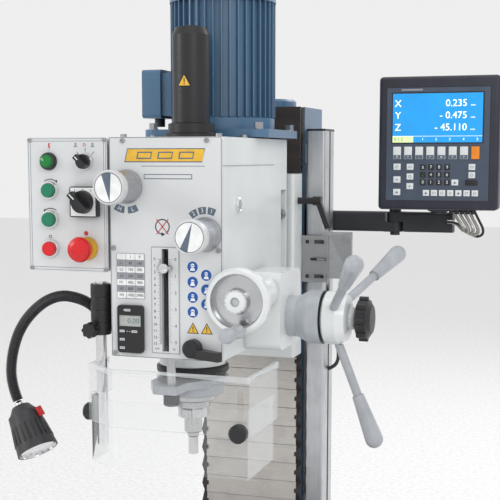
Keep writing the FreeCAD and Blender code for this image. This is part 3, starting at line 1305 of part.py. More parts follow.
def build():
    base_casting()
    column()
    column_bolts()
    z_drive_cover()
    z_leadscrew()
    upper_way_cover()
    lower_bellows()
    z_scale_cover()
    scale_caps()
    scale_brackets()
    y_saddle()
    leadscrew_nuts()
    table()
    gib_strip("saddle_gib", "y", "way_root", "way_wide", "way_root_z", "way_top_z",
              "-saddle_reach", "saddle_reach")
    gib_strip("table_gib", "x", "way_root", "cross_way_wide", "saddle_top", "cross_way_z",
              "-table_half", "table_half")
    x_leadscrew()
    y_leadscrew()
    end_brackets()
    y_bracket()
    dial("x_dial", "x", (0, "table_screw_z"), "table_half + 25", "table_half + 40")
    dial("y_dial", "y", (0, "saddle_screw_z"), "foot_front + 6", "foot_front - 10")
    handwheel("x_wheel_left", "x", (0, "table_screw_z"), -442, -1)
    handwheel("x_wheel_right", "x", (0, "table_screw_z"), 442, 1)
    handwheel("y_wheel", "y", (0, "saddle_screw_z"), -242, -1)
    crank_grip("x_grip_left", "x", (-58, "table_screw_z"), -464, -1)
    crank_grip("x_grip_right", "x", (-58, "table_screw_z"), 464, 1)
    crank_grip("y_grip", "y", (0, "saddle_screw_z + 58"), -264, -1)
    locks()
    head_casting()
    head_cover()
    cover_screws()
    head_slide()
    head_gib()
    tilt_bolts()
    front_panel()
    panel_screws()
    panel_plates()
    gear_knob("range_knob", -62.3, -74.5, -62)
    gear_knob("speed_knob", 64.5, -144.7, -68)
    quill_lock_lever()
    sight_glass()
    motor()
    motor_bolts()
    gear_train()
    sleeve_bearing()
    spindle()
    quill()
    spindle_bearings()
    drawbar()
    drawbar_cover()
    chuck()
    quill_collar()
    depth_rod()
    dust_ring()
    feed_gearbox()
    feed_shaft()
    fine_feed()
    feed_hub()
    feed_levers()
    control_box()
    controls()
    guard()
    lamp()
    reader_bracket()
    readout_arm()
    readout()


def check_and_write():
    DOC.recompute()
    broken = [item.Label for item in DOC.Objects if {"Invalid", "Error"} & set(item.State)]
    if broken:
        raise RuntimeError(f"not built: {broken}")
    for item in PIECES:
        if item.Shape.isNull() or not item.Shape.isValid():
            raise RuntimeError(f"{item.Label} has no valid shape")
        item.Shape.exportStep(f"parts/{item.Label}.step")
    print(len(PIECES), "pieces")


build()
join_groups()
check_and_write()
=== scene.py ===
"""Vertical milling machine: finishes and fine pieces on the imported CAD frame."""

from __future__ import annotations

import json
import logging
import math
from contextlib import contextmanager
from dataclasses import dataclass, field
from enum import Enum
from typing import Callable, Iterator, Sequence

import bmesh
import bpy
from mathutils import Matrix, Vector

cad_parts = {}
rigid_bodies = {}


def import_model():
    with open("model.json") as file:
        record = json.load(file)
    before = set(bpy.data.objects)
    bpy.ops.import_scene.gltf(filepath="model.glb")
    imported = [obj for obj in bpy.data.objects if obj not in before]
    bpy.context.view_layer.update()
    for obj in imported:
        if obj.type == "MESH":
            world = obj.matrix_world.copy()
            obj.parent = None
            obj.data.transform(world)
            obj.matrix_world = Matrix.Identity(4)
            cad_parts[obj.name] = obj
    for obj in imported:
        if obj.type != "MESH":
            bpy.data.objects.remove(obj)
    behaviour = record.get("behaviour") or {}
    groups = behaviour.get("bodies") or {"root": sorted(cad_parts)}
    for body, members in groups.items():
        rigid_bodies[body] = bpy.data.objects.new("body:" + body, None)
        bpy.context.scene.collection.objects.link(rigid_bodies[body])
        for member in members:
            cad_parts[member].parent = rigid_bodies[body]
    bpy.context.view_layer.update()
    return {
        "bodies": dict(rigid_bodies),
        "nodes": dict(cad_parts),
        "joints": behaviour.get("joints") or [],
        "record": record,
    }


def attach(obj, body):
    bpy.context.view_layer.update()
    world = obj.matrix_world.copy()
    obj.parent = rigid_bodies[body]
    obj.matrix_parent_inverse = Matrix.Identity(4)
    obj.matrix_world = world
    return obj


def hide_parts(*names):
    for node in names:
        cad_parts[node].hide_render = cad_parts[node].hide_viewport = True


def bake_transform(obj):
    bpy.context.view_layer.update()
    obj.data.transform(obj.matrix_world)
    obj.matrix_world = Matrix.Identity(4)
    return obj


LOG = logging.getLogger("mill")
MM = 0.001
SPINDLE_Y = -130.0
HEAD_TOP = 1000.0
FRONT = -112.0
FEED_DIAL_RADIUS = 33.1
FINE_DIAL_RADIUS = 17.1
SAMPLES = 4
MERGE_DISTANCE = 1e-6
SHARP_DEGREES = 35
LAYER_STEP = 0.07
INK_THICKNESS = 0.05
SCREW_AXIS_Y = -0.13
ROUTE_STEPS = 16
Colour = tuple[float, float, float]
Pair = tuple[float, float]
Test = Callable[[Vector], bool]
Socket = bpy.types.NodeSocket


def at(x: float, y: float, z: float) -> Vector:
    """A point of the head, from the spindle axis and the panel's top edge.

    Args:
        x: Millimetres to the right.
        y: Millimetres to the back.
        z: Millimetres up.

    Returns:
        The point in the shared frame, in metres.
    """
    return Vector((x, y + SPINDLE_Y, z + HEAD_TOP)) * MM


def polar(radius: float, degrees: float) -> Pair:
    """The right and up parts of a radius at an angle."""
    angle = math.radians(degrees)
    return radius * math.cos(angle), radius * math.sin(angle)


class Axis(Enum):
    """The three directions of the shared frame."""

    X = (1.0, 0.0, 0.0)
    Y = (0.0, 1.0, 0.0)
    Z = (0.0, 0.0, 1.0)

    @property
    def vector(self) -> Vector:
        """The direction as a vector."""
        return Vector(self.value)


# ---------------------------------------------------------------- finishes


class Graph:
    """A material's node graph, with its Principled shader and output in place."""

    def __init__(self, name: str) -> None:
        """Starts an empty material.

        Args:
            name: The material's name.
        """
        self.material = bpy.data.materials.new(f"{name}_finish")
        self.material.use_nodes = True
        self.tree = self.material.node_tree
        self.tree.nodes.clear()
        self.shader = self.add("ShaderNodeBsdfPrincipled")
        output = self.add("ShaderNodeOutputMaterial")
        self.link(self.shader.outputs["BSDF"], output.inputs["Surface"])

    def add(self, kind: str, **inputs: object) -> bpy.types.Node:
        """A new node with its input values set.

        Args:
            kind: The node's type.
            **inputs: Values by input name, with underscores for spaces.

        Returns:
            The node.
        """
        node = self.tree.nodes.new(kind)
        for name, value in inputs.items():
            node.inputs[name.replace("_", " ")].default_value = value
        return node

    def link(self, source: Socket, target: Socket) -> None:
        """Joins an output to an input."""
        self.tree.links.new(source, target)

    def set(self, **inputs: object) -> None:
        """Sets constants on the Principled shader, with underscores for spaces."""
        for name, value in inputs.items():
            self.shader.inputs[name.replace("_", " ")].default_value = value

    def place(self, scale: Sequence[float] = (1, 1, 1), centre: Sequence[float] = (0, 0, 0)) -> Socket:
        """Object coordinates, moved to a centre and stretched."""
        source = self.add("ShaderNodeTexCoord")
        shift = self.add("ShaderNodeMapping", Location=[-c for c in centre])
        stretch = self.add("ShaderNodeMapping", Scale=scale)
        self.link(source.outputs["Object"], shift.inputs["Vector"])
        self.link(shift.outputs["Vector"], stretch.inputs["Vector"])
        return stretch.outputs["Vector"]

    def noise(self, place: Socket, size: float, detail: float = 3.0) -> Socket:
        """A noise of the given grain size in metres."""
        node = self.add("ShaderNodeTexNoise", Scale=1.0 / size, Detail=detail, Roughness=0.55)
        self.link(place, node.inputs["Vector"])
        return node.outputs["Fac"]

    def span(self, value: Socket, low: float, high: float, start: float = 0.3, end: float = 0.7) -> Socket:
        """Maps a value's range start to end on low to high."""
        node = self.add("ShaderNodeMapRange")
        for index, number in enumerate((start, end, low, high), 1):
            node.inputs[index].default_value = number
        self.link(value, node.inputs[0])
        return node.outputs[0]

    def mix(self, share: Socket, one: Colour | Socket, other: Colour | Socket) -> Socket:
        """A colour between two colours or outputs, by a share from 0 to 1."""
        node = self.tree.nodes.new("ShaderNodeMix")
        node.data_type = "RGBA"
        self.link(share, node.inputs[0])
        for slot, colour in ((node.inputs[6], one), (node.inputs[7], other)):
            if isinstance(colour, tuple):
                slot.default_value = (*colour, 1)
            else:
                self.link(colour, slot)
        return node.outputs[2]

    def clouded(self, share: Socket, colour: Colour, dark: float, light: float) -> Socket:
        """A colour that a noise changes between two factors."""
        return self.mix(self.span(share, 0, 1), shade(colour, dark), shade(colour, light))

    def join(self, kind: str, operation: str, one: Socket, other: Socket) -> Socket:
        """The value of a maths node on two outputs."""
        node = self.tree.nodes.new(kind)
        node.operation = operation
        self.link(one, node.inputs[0])
        self.link(other, node.inputs[1])
        return node.outputs["Value"]

    def rounded(self, radius: float) -> Socket:
        """The surface's normal with its edges rounded."""
        node = self.add("ShaderNodeBevel", Radius=radius)
        node.samples = SAMPLES
        return node.outputs["Normal"]

    def bump(self, height: Socket, depth: float, strength: float = 0.5,
             before: Socket | None = None) -> Socket:
        """A relief of the given depth in metres, on top of the one before."""
        node = self.add("ShaderNodeBump", Strength=strength, Distance=depth)
        self.link(height, node.inputs["Height"])
        if before is not None:
            self.link(before, node.inputs["Normal"])
        return node.outputs["Normal"]

    def done(self, tone: Socket, rough: Socket, normal: Socket | None = None) -> bpy.types.Material:
        """Joins colour, roughness and relief to the shader and gives the material back."""
        for name, source in (("Base Color", tone), ("Roughness", rough), ("Normal", normal)):
            if source is not None:
                self.link(source, self.shader.inputs[name])
        return self.material


def shade(colour: Colour, factor: float) -> Colour:
    """The colour made darker or lighter by a factor."""
    return tuple(min(1.0, c * factor) for c in colour)


@dataclass(frozen=True)
class Finish:
    """A named surface finish, made a material once."""

    name: str
    colour: Colour
    roughness: float = 0.4

    def material(self) -> bpy.types.Material:
        """The material, made at its first use."""
        return bpy.data.materials.get(f"{self.name}_finish") or self.made()

    def made(self) -> bpy.types.Material:
        """Makes the material of a printed ink."""
        graph = Graph(self.name)
        place = graph.place()
        grain = graph.noise(place, 0.0011, 4)
        tone = graph.clouded(graph.noise(place, 0.013, 3), self.colour, 0.9, 1.08)
        rough = graph.span(grain, self.roughness - 0.06, self.roughness + 0.08)
        return graph.done(tone, rough, graph.bump(grain, 0.00002, 0.4))


@dataclass(frozen=True)
class Paint(Finish):
    """Sprayed machine paint: orange peel, faint clouds, painted shade in the corners and worn edges."""

    peel: float = 0.0022
    depth: float = 0.00005
    worn: Colour = (0.42, 0.42, 0.42)
    wear: float = 0.35

    def made(self) -> bpy.types.Material:
        """Makes the paint's material."""
        graph = Graph(self.name)
        place = graph.place()
        tone = graph.clouded(graph.noise(place, 0.11, 4), self.colour, 0.955, 1.03)
        # painted shade: ambient occlusion darkens the colour towards 0.62 in corners, creases and recesses
        corner = graph.add("ShaderNodeAmbientOcclusion", Distance=0.02)
        corner.samples = SAMPLES
        open_air = graph.span(corner.outputs["AO"], 0, 1, 0.25, 0.8)
        painted_shade_tone = graph.mix(open_air, shade(self.colour, 0.62), tone)
        flat = graph.add("ShaderNodeNewGeometry").outputs["Normal"]
        facing = graph.join("ShaderNodeVectorMath", "DOT_PRODUCT", graph.rounded(0.0012), flat)
        patches = graph.span(graph.noise(place, 0.009, 5), 0, 1, 0.42, 0.62)
        rub = graph.span(facing, self.wear, 0, 0.78, 0.97)
        broken = graph.join("ShaderNodeMath", "MULTIPLY", rub, patches)
        rough = graph.span(graph.noise(place, 0.0007, 2), self.roughness - 0.05, self.roughness + 0.07)
        graph.set(Coat_Weight=0.25, Coat_Roughness=0.12)
        peel = graph.bump(graph.noise(place, self.peel, 2), self.depth, before=graph.rounded(0.0006))
        return graph.done(graph.mix(broken, painted_shade_tone, self.worn), rough, peel)


@dataclass(frozen=True)
class Metal(Finish):
    """Bare or plated metal, with lines left by its machining."""

    lines: tuple[float, float, float] = (1.0, 1.0, 1.0)
    line: float = 0.0012
    depth: float = 0.00002
    rings: Axis | None = None
    centre: tuple[float, float, float] = (0.0, 0.0, 0.0)

    def made(self) -> bpy.types.Material:
        """Makes the metal's material."""
        graph = Graph(self.name)
        graph.set(Metallic=1.0)
        stretched = graph.place(self.lines, self.centre)
        if self.rings is None:
            lines = graph.noise(stretched, self.line, 4)
        else:
            node = graph.add("ShaderNodeTexWave", Scale=0.32 / self.line, Distortion=0.6, Detail=2.0)
            node.wave_type = "RINGS"
            node.rings_direction = self.rings.name
            graph.link(stretched, node.inputs["Vector"])
            lines = node.outputs["Fac"]
        smear = graph.noise(graph.place(), 0.03, 4)
        stains = graph.span(smear, 0, 0.5, 0.5, 0.75)
        tone = graph.mix(stains, graph.clouded(lines, self.colour, 0.88, 1.06), shade(self.colour, 0.8))
        rough = graph.span(smear, self.roughness - 0.05, self.roughness + 0.1)
        return graph.done(tone, rough, graph.bump(lines, self.depth, before=graph.rounded(0.0004)))


@dataclass(frozen=True)
class Plastic(Finish):
    """Moulded plastic, powder coat or rubber, with a fine leathery grain."""

    grain: float = 0.0009
    depth: float = 0.00006
    sheen: float = 0.0

    def made(self) -> bpy.types.Material:
        """Makes the plastic's material."""
        graph = Graph(self.name)
        place = graph.place()
        cells = graph.add("ShaderNodeTexVoronoi", Scale=1.0 / self.grain)
        graph.link(place, cells.inputs["Vector"])
        tone = graph.clouded(graph.noise(place, 0.04, 4), self.colour, 0.86, 1.12)
        rough = graph.span(graph.noise(place, 0.004, 3), self.roughness - 0.06, self.roughness + 0.08)
        graph.set(Sheen_Weight=self.sheen)
        relief = graph.bump(cells.outputs["Distance"], self.depth, before=graph.rounded(0.0006))
        return graph.done(tone, rough, relief)


@dataclass(frozen=True)
class Clear(Finish):
    """Clear sheet plastic, denser where it is seen edge on, with fine wiping marks."""

    faint: float = 0.10
    dense: float = 0.62

    def made(self) -> bpy.types.Material:
        """Makes the clear plastic's material."""
        graph = Graph(self.name)
        wipes = graph.noise(graph.place((1, 1, 0.25)), 0.012, 5)
        weight = graph.add("ShaderNodeLayerWeight", Blend=0.35)
        graph.link(graph.span(weight.outputs["Facing"], self.faint, self.dense, 0.1, 1.0),
                   graph.shader.inputs["Alpha"])
        graph.set(IOR=1.49, Specular_IOR_Level=0.8)
        return graph.done(graph.clouded(wipes, self.colour, 0.97, 1.02),
                          graph.span(wipes, self.roughness, self.roughness + 0.05))


@dataclass(frozen=True)
class Lit(Finish):
    """A glowing display or lamp lens."""

    glow: float = 1.0

    def made(self) -> bpy.types.Material:
        """Makes the lit material."""
        graph = Graph(self.name)
        tone = graph.clouded(graph.noise(graph.place(), 0.05, 3), self.colour, 0.93, 1.06)
        graph.link(tone, graph.shader.inputs["Base Color"])
        graph.link(tone, graph.shader.inputs["Emission Color"])
        graph.set(Roughness=self.roughness, Emission_Strength=self.glow)
        return graph.material


WHITE = Paint("white_paint", (0.74, 0.77, 0.765), 0.34)
BLUE = Paint("blue_paint", (0.070, 0.160, 0.275), 0.36, depth=0.00008, worn=(0.35, 0.38, 0.4))
PANEL = Paint("panel_grey", (0.66, 0.675, 0.685), 0.42, peel=0.0012, depth=0.00002, wear=0.1)
CAST_BLUE = Paint("cast_blue_paint", (0.062, 0.145, 0.255), 0.42, peel=0.004, depth=0.00025)
POWDER = Plastic("black_powder_coat", (0.022, 0.023, 0.028), 0.5, grain=0.0007, depth=0.00005)
BLACK = Plastic("black_plastic", (0.012, 0.012, 0.014), 0.38)
GLOSS_BLACK = Plastic("gloss_black_plastic", (0.008, 0.008, 0.009), 0.16, depth=0.00001)
HOSE = Plastic("hose_black", (0.030, 0.031, 0.034), 0.34, depth=0.00001)
SATIN_GREY = Plastic("satin_grey_coat", (0.44, 0.47, 0.50), 0.34, depth=0.00001)
RUBBER = Plastic("way_rubber", (0.028, 0.020, 0.019), 0.7, grain=0.0016, depth=0.0001, sheen=0.2)
LAMP_GREY = Plastic("lamp_grey_plastic", (0.035, 0.035, 0.038), 0.45)
NAVY = Plastic("navy_case_plastic", (0.020, 0.022, 0.036), 0.42, grain=0.0011, depth=0.00008)
SLATE = Plastic("slate_membrane", (0.058, 0.078, 0.118), 0.45, grain=0.0006, depth=0.00002)
KNOB = Metal("knob_silver", (0.50, 0.51, 0.53), 0.42, lines=(1, 0.1, 1), line=0.0015)
STEEL = Metal("ground_steel", (0.56, 0.56, 0.57), 0.28, lines=(1, 1, 0.06))
TURNED = Metal("turned_steel", (0.55, 0.55, 0.56), 0.24, line=0.0007, rings=Axis.Z, centre=(0, -0.13, 0.5))
DARK_STEEL = Metal("blackened_steel", (0.10, 0.10, 0.105), 0.38)
ZINC = Metal("zinc_screws", (0.42, 0.42, 0.43), 0.32)
CHROME = Metal("polished_chrome", (0.82, 0.82, 0.83), 0.09, depth=0.000004)
SCALE_ALU = Metal("anodised_profile", (0.60, 0.61, 0.63), 0.38, lines=(1, 1, 0.03))
PLATE_ALU = Metal("bracket_aluminium", (0.50, 0.51, 0.52), 0.4, lines=(0.08, 1, 1))
GRIP = Plastic("silver_grip", (0.40, 0.42, 0.45), 0.32, grain=0.0005, depth=0.00001)
DISH = Metal("turned_dish", (0.58, 0.59, 0.60), 0.22, line=0.0008, rings=Axis.Y, centre=(0.12, -0.13, 0.759))
BRASS = Metal("brass", (0.62, 0.45, 0.18), 0.3, rings=Axis.X, centre=(0.12, -0.079, 0.715))
IRON = Metal("ground_table_iron", (0.36, 0.37, 0.375), 0.3, lines=(0.03, 1, 1), line=0.0009, depth=0.00003)
GREEN = Plastic("green_cap", (0.008, 0.20, 0.10), 0.32, depth=0.00001)
LAMP_GREEN = Lit("green_lamp_lens", (0.0, 0.17, 0.030), 0.14, glow=0.2)
RED = Plastic("red_cap", (0.62, 0.008, 0.012), 0.3, depth=0.00001)
YELLOW = Plastic("yellow_ring", (0.62, 0.33, 0.015), 0.4, depth=0.00002)
FEED_WHITE = Paint("white_gloss_coat", (0.76, 0.785, 0.785), 0.24, depth=0.00001, wear=0.0)
GRIP_WHITE = Plastic("knob_white_rim", (0.62, 0.63, 0.64), 0.28, depth=0.00001)
GUARD = Clear("clear_guard_sheet", (0.80, 0.83, 0.84), 0.04, faint=0.05, dense=0.42)
GUARD_EDGE = Clear("clear_guard_edge", (0.78, 0.81, 0.82), 0.12, faint=0.4, dense=0.75)
GLASS = Clear("lamp_glass", (0.85, 0.87, 0.9), 0.05, faint=0.25, dense=0.8)
SKY = Lit("readout_screen", (0.010, 0.30, 0.74), 0.15, glow=0.42)
LETTER = Lit("readout_letters", (0.86, 0.93, 1.0), 0.2, glow=0.95)
MESSAGE = Lit("readout_message", (0.60, 0.74, 0.36), 0.2, glow=0.6)
LCD = Finish("lcd_grey", (0.42, 0.45, 0.42), 0.2)
LAMELLA = Metal("way_cover_plates", (0.60, 0.575, 0.545), 0.42, lines=(0.05, 1, 1), line=0.0012)
INK_BLACK = Finish("black_ink", (0.012, 0.012, 0.014), 0.45)
INK_SLATE = Finish("slate_ink", (0.105, 0.14, 0.19), 0.4)
INK_WHITE = Finish("white_ink", (0.84, 0.85, 0.85), 0.4)
INK_GREY = Finish("grey_ink", (0.30, 0.31, 0.33), 0.4)
INK_RED = Finish("red_ink", (0.55, 0.02, 0.045), 0.4)
INK_BLUE = Finish("sign_blue_ink", (0.006, 0.085, 0.36), 0.35)
INK_AMBER = Finish("amber_ink", (0.78, 0.46, 0.04), 0.4)
INK_ORANGE = Finish("orange_ink", (0.86, 0.26, 0.01), 0.4)
BRAID = Metal("steel_braid", (0.45, 0.43, 0.41), 0.35, line=0.002)


# ---------------------------------------------------------------- shapes


class Shape:
    """A mesh shaped with bmesh operators, each step in its own finish."""

    def __init__(self) -> None:
        """Starts an empty mesh."""
        self.mesh = bmesh.new()
        self.finishes: list[Finish] = []

    def dress(self, faces: Sequence[bmesh.types.BMFace], finish: Finish, smooth: bool = True) -> None:
        """Gives faces a finish."""
        if finish not in self.finishes:
            self.finishes.append(finish)
        for face in faces:
            face.material_index = self.finishes.index(finish)
            face.smooth = smooth

    @contextmanager
    def added(self, finish: Finish, smooth: bool = True) -> Iterator[None]:
        """Gives the faces that are made inside it a finish."""
        before = set(self.mesh.faces)
        yield
        self.dress([face for face in self.mesh.faces if face not in before], finish, smooth)

    def bar(self, low: Vector, high: Vector, half: Vector, lift: Vector) -> None:
        """A thin black bar between two points, with half its width and half its thickness."""
        corners = (low - half, low + half, high + half, high - half)
        verts = [self.mesh.verts.new(corner + lift * side) for side in (-1, 1) for corner in corners]
        faces = ((3, 2, 1, 0), (4, 5, 6, 7), (0, 1, 5, 4), (1, 2, 6, 5), (2, 3, 7, 6), (3, 0, 4, 7))
        self.dress([self.mesh.faces.new([verts[i] for i in face]) for face in faces], INK_BLACK, False)

    def block(self, low: Sequence[float], high: Sequence[float], finish: Finish,
              bevel: float = 0.0, segments: int = 3) -> None:
        """A block between two corners, with rounded edges.

        Args:
            low: Its lowest corner, in metres.
            high: Its highest corner.
            finish: Its finish.
            bevel: The radius of its edges.
            segments: The steps round each edge.
        """
        low, high = Vector(low), Vector(high)
        place = Matrix.Translation((low + high) / 2) @ Matrix.Diagonal((*(high - low), 1))
        with self.added(finish):
            made = bmesh.ops.create_cube(self.mesh, size=1.0, matrix=place)
            if bevel:
                edges = list({edge for vert in made["verts"] for edge in vert.link_edges})
                bmesh.ops.bevel(self.mesh, geom=edges, offset=bevel, offset_type="OFFSET", segments=segments,
                                profile=0.5, affect="EDGES", material=-1)

    def turned(self, centre: Vector, axis: Vector, outline: Sequence[Pair], finish: Finish,
               steps: int = 48, smooth: bool = True) -> list[bmesh.types.BMFace]:
        """A closed turned shape.

        Args:
            centre: The zero point on its axis, in metres.
            axis: The direction of growing height.
            outline: (radius, height) points in millimetres, from axis to axis or as a closed loop.
            finish: Its finish.
            steps: The steps round the axis.
            smooth: Whether it is shaded smooth.

        Returns:
            The new faces.
        """
        axis = axis.normalized()
        side = axis.orthogonal().normalized()
        before = set(self.mesh.faces)
        verts = [self.mesh.verts.new(centre + axis * (h * MM) + side * (r * MM)) for r, h in outline]
        edges = [self.mesh.edges.new(pair) for pair in zip(verts, verts[1:])]
        if min(outline[0][0], outline[-1][0]) > MERGE_DISTANCE:
            edges.append(self.mesh.edges.new((verts[-1], verts[0])))
        bmesh.ops.spin(self.mesh, geom=verts + edges, cent=centre, axis=axis, angle=math.tau,
                       steps=steps, use_merge=True, use_duplicate=False)
        made = [face for face in self.mesh.faces if face not in before]
        near = list({vert for face in made for vert in face.verts})
        bmesh.ops.remove_doubles(self.mesh, verts=near, dist=MERGE_DISTANCE)
        made = [face for face in self.mesh.faces if face not in before]
        self.dress(made, finish, smooth)
        return made

    def fluted(self, centre: Vector, axis: Vector, faces: Sequence[bmesh.types.BMFace],
               count: int, depth: float, low: float, high: float) -> None:
        """Draws every second meridian of a turned band inwards, as a knurl or flutes do.

        Args:
            centre: The zero point of the axis.
            axis: The axis.
            faces: The turned faces.
            count: The number of flutes.
            depth: Their depth in millimetres.
            low: The band's lowest height in millimetres.
            high: The band's highest height.
        """
        axis = axis.normalized()
        side = axis.orthogonal().normalized()
        across = axis.cross(side)
        for vert in {vert for face in faces for vert in face.verts}:
            away = vert.co - centre
            height = away.dot(axis) / MM
            if low - 0.01 <= height <= high + 0.01:
                flat = away - axis * away.dot(axis)
                angle = math.atan2(flat.dot(across), flat.dot(side))
                pull = 0.5 - 0.5 * math.cos(angle * count)
                vert.co -= flat.normalized() * (depth * MM * pull)

    def tube(self, points: Sequence[Vector], radius: float, finish: Finish, sides: int = 14,
             rib: float = 0.0, pitch: float = 0.003) -> None:
        """A round bar or ribbed hose along a smooth line.

        Args:
            points: The line's control points, in metres.
            radius: The outer radius in metres.
            finish: Its finish.
            sides: The sides of its section.
            rib: How much thinner it is between ribs.
            pitch: The ribs' spacing.
        """
        line = smooth_line(points)
        if rib:
            line = even(line, pitch / 2)
        curve = bpy.data.curves.new("line", "CURVE")
        curve.dimensions = "3D"
        curve.bevel_depth = radius
        curve.bevel_resolution = max(1, sides // 4 - 1)
        curve.use_fill_caps = True
        spline = curve.splines.new("POLY")
        spline.points.add(len(line) - 1)
        for index, (point, spot) in enumerate(zip(spline.points, line)):
            point.co = (*spot, 1)
            point.radius = 1 - (rib / radius if rib and index % 2 else 0)
        self.absorb(curve, Matrix.Identity(4), finish)

    def absorb(self, curve: bpy.types.Curve, place: Matrix, finish: Finish) -> None:
        """Turns a curve or text into faces here."""
        flat = meshed(curve)
        flat.transform(place)
        with self.added(finish):
            self.mesh.from_mesh(flat)
        bpy.data.meshes.remove(flat)

    def piece(self, name: str, body: str, outwards: bool = True) -> bpy.types.Object:
        """Makes the shape an object that rides on a body.

        Args:
            name: The piece's name.
            body: The body that it moves with.
            outwards: Whether its normals are worked out anew.

        Returns:
            The object.
        """
        if outwards:
            bmesh.ops.recalc_face_normals(self.mesh, faces=self.mesh.faces)
        data = bpy.data.meshes.new(name)
        self.mesh.to_mesh(data)
        self.mesh.free()
        for finish in self.finishes:
            data.materials.append(finish.material())
        data.set_sharp_from_angle(angle=math.radians(SHARP_DEGREES))
        made = bpy.data.objects.new(name, data)
        bpy.context.collection.objects.link(made)
        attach(made, body)
        LOG.info("%s: %d faces on %s", name, len(data.polygons), body)
        return made


def meshed(curve: bpy.types.Curve) -> bpy.types.Mesh:
    """A curve or text made a mesh, without the curve left behind."""
    holder = bpy.data.objects.new("holder", curve)
    bpy.context.collection.objects.link(holder)
    bpy.context.view_layer.update()
    mesh = bpy.data.meshes.new_from_object(holder.evaluated_get(bpy.context.evaluated_depsgraph_get()))
    bpy.data.objects.remove(holder)
    bpy.data.curves.remove(curve)
    return mesh


def smooth_line(points: Sequence[Vector]) -> list[Vector]:
    """The points of a smooth spline through the given control points."""
    curve = bpy.data.curves.new("route", "CURVE")
    curve.dimensions = "3D"
    spline = curve.splines.new("NURBS")
    spline.points.add(len(points) - 1)
    for point, spot in zip(spline.points, points):
        point.co = (*spot, 1)
    spline.order_u = 3
    spline.use_endpoint_u = True
    curve.resolution_u = ROUTE_STEPS
    mesh = meshed(curve)
    line = [vert.co.copy() for vert in mesh.vertices]
    bpy.data.meshes.remove(mesh)
    return line


def even(line: Sequence[Vector], step: float) -> list[Vector]:
    """The line's points at an even spacing."""
    spaced, left = [line[0].copy()], step
    for one, two in zip(line, line[1:]):
        run = (two - one).length
        while run >= left:
            one = one + (two - one) * (left / run)
            spaced.append(one.copy())
            run, left = (two - one).length, step
        left -= run
    return spaced


@dataclass(frozen=True)
class Plane:
    """A flat face that prints lie on, measured in millimetres from its origin."""

    origin: Vector
    right: Vector = field(default_factory=lambda: Vector((1, 0, 0)))
    up: Vector = field(default_factory=lambda: Vector((0, 0, 1)))

    def matrix(self, u: float, v: float, lift: float, turn: float = 0.0) -> Matrix:
        """The place of a spot on the face, for shapes drawn in millimetres."""
        out = self.right.cross(self.up)
        spot = self.origin + (self.right * u + self.up * v + out * lift) * MM
        turned = Matrix((self.right, self.up, out)).transposed().to_4x4()
        return Matrix.Translation(spot) @ turned @ Matrix.Rotation(turn, 4, "Z") @ Matrix.Scale(MM, 4)


class Print(Shape):
    """Inks, stickers and engraved marks on one plane, each layer a little above the last."""

    def __init__(self, plane: Plane, lift: float = 0.08) -> None:
        """Starts an empty print.

        Args:
            plane: The face that it lies on.
            lift: The lowest layer's height in millimetres.
        """
        super().__init__()
        self.plane = plane
        self.lift = lift

    def height(self, layer: int) -> float:
        """A layer's height above the face."""
        return self.lift + LAYER_STEP * layer

    def rect(self, u0: float, v0: float, u1: float, v1: float, ink: Finish, layer: int = 0,
             turn: float = 0.0) -> None:
        """A filled rectangle."""
        place = self.plane.matrix((u0 + u1) / 2, (v0 + v1) / 2, self.height(layer), math.radians(turn))
        place = place @ Matrix.Diagonal((u1 - u0, v1 - v0, 1, 1))
        with self.added(ink, False):
            bmesh.ops.create_grid(self.mesh, x_segments=1, y_segments=1, size=0.5, matrix=place)

    def frame(self, u0: float, v0: float, u1: float, v1: float, width: float, ink: Finish,
              layer: int = 0) -> None:
        """A rectangular line."""
        self.rect(u0, v0, u1, v0 + width, ink, layer)
        self.rect(u0, v1 - width, u1, v1, ink, layer)
        self.rect(u0, v0 + width, u0 + width, v1 - width, ink, layer)
        self.rect(u1 - width, v0 + width, u1, v1 - width, ink, layer)

    def disc(self, u: float, v: float, radius: float, ink: Finish, layer: int = 0, sides: int = 36) -> None:
        """A filled circle or regular polygon."""
        with self.added(ink, False):
            bmesh.ops.create_circle(self.mesh, cap_ends=True, segments=sides, radius=radius,
                                    matrix=self.plane.matrix(u, v, self.height(layer)))

    def shape(self, points: Sequence[Pair], ink: Finish, layer: int = 0) -> None:
        """A filled polygon."""
        place = self.plane.matrix(0, 0, self.height(layer))
        verts = [self.mesh.verts.new(place @ Vector((u, v, 0))) for u, v in points]
        self.dress([self.mesh.faces.new(verts)], ink, False)

    def arc(self, u: float, v: float, inner: float, outer: float, start: float, end: float, ink: Finish,
            layer: int = 0, steps: int = 12) -> None:
        """A part of a ring between two angles in degrees."""
        place = self.plane.matrix(u, v, self.height(layer))
        with self.added(ink, False):
            verts = [self.mesh.verts.new(place @ Vector((*polar(r, start), 0))) for r in (inner, outer)]
            edge = self.mesh.edges.new(verts)
            bmesh.ops.spin(self.mesh, geom=verts + [edge], cent=place.translation,
                           axis=self.plane.right.cross(self.plane.up), angle=math.radians(end - start),
                           steps=steps, use_duplicate=False)

    def text(self, u: float, v: float, height: float, words: str, ink: Finish, layer: int = 1,
             turn: float = 0.0, align: str = "CENTER") -> None:
        """Letters or figures of the given height, in millimetres."""
        curve = bpy.data.curves.new("letters", "FONT")
        curve.body = words
        curve.size = height / 0.7
        curve.align_x = align
        curve.align_y = "CENTER"
        curve.resolution_u = 3
        self.absorb(curve, self.plane.matrix(u, v, self.height(layer), math.radians(turn)), ink)

    def piece(self, name: str, body: str, outwards: bool = False) -> bpy.types.Object:
        """Gives the inks a thickness and makes them an object that rides on a body."""
        out = self.plane.right.cross(self.plane.up)
        for face in self.mesh.faces:
            face.normal_update()
            if face.normal.dot(out) < 0:
                face.normal_flip()
        grown = bmesh.ops.extrude_face_region(self.mesh, geom=list(self.mesh.faces))
        verts = [item for item in grown["geom"] if isinstance(item, bmesh.types.BMVert)]
        bmesh.ops.translate(self.mesh, vec=out * (INK_THICKNESS * MM), verts=verts)
        return super().piece(name, body, outwards)


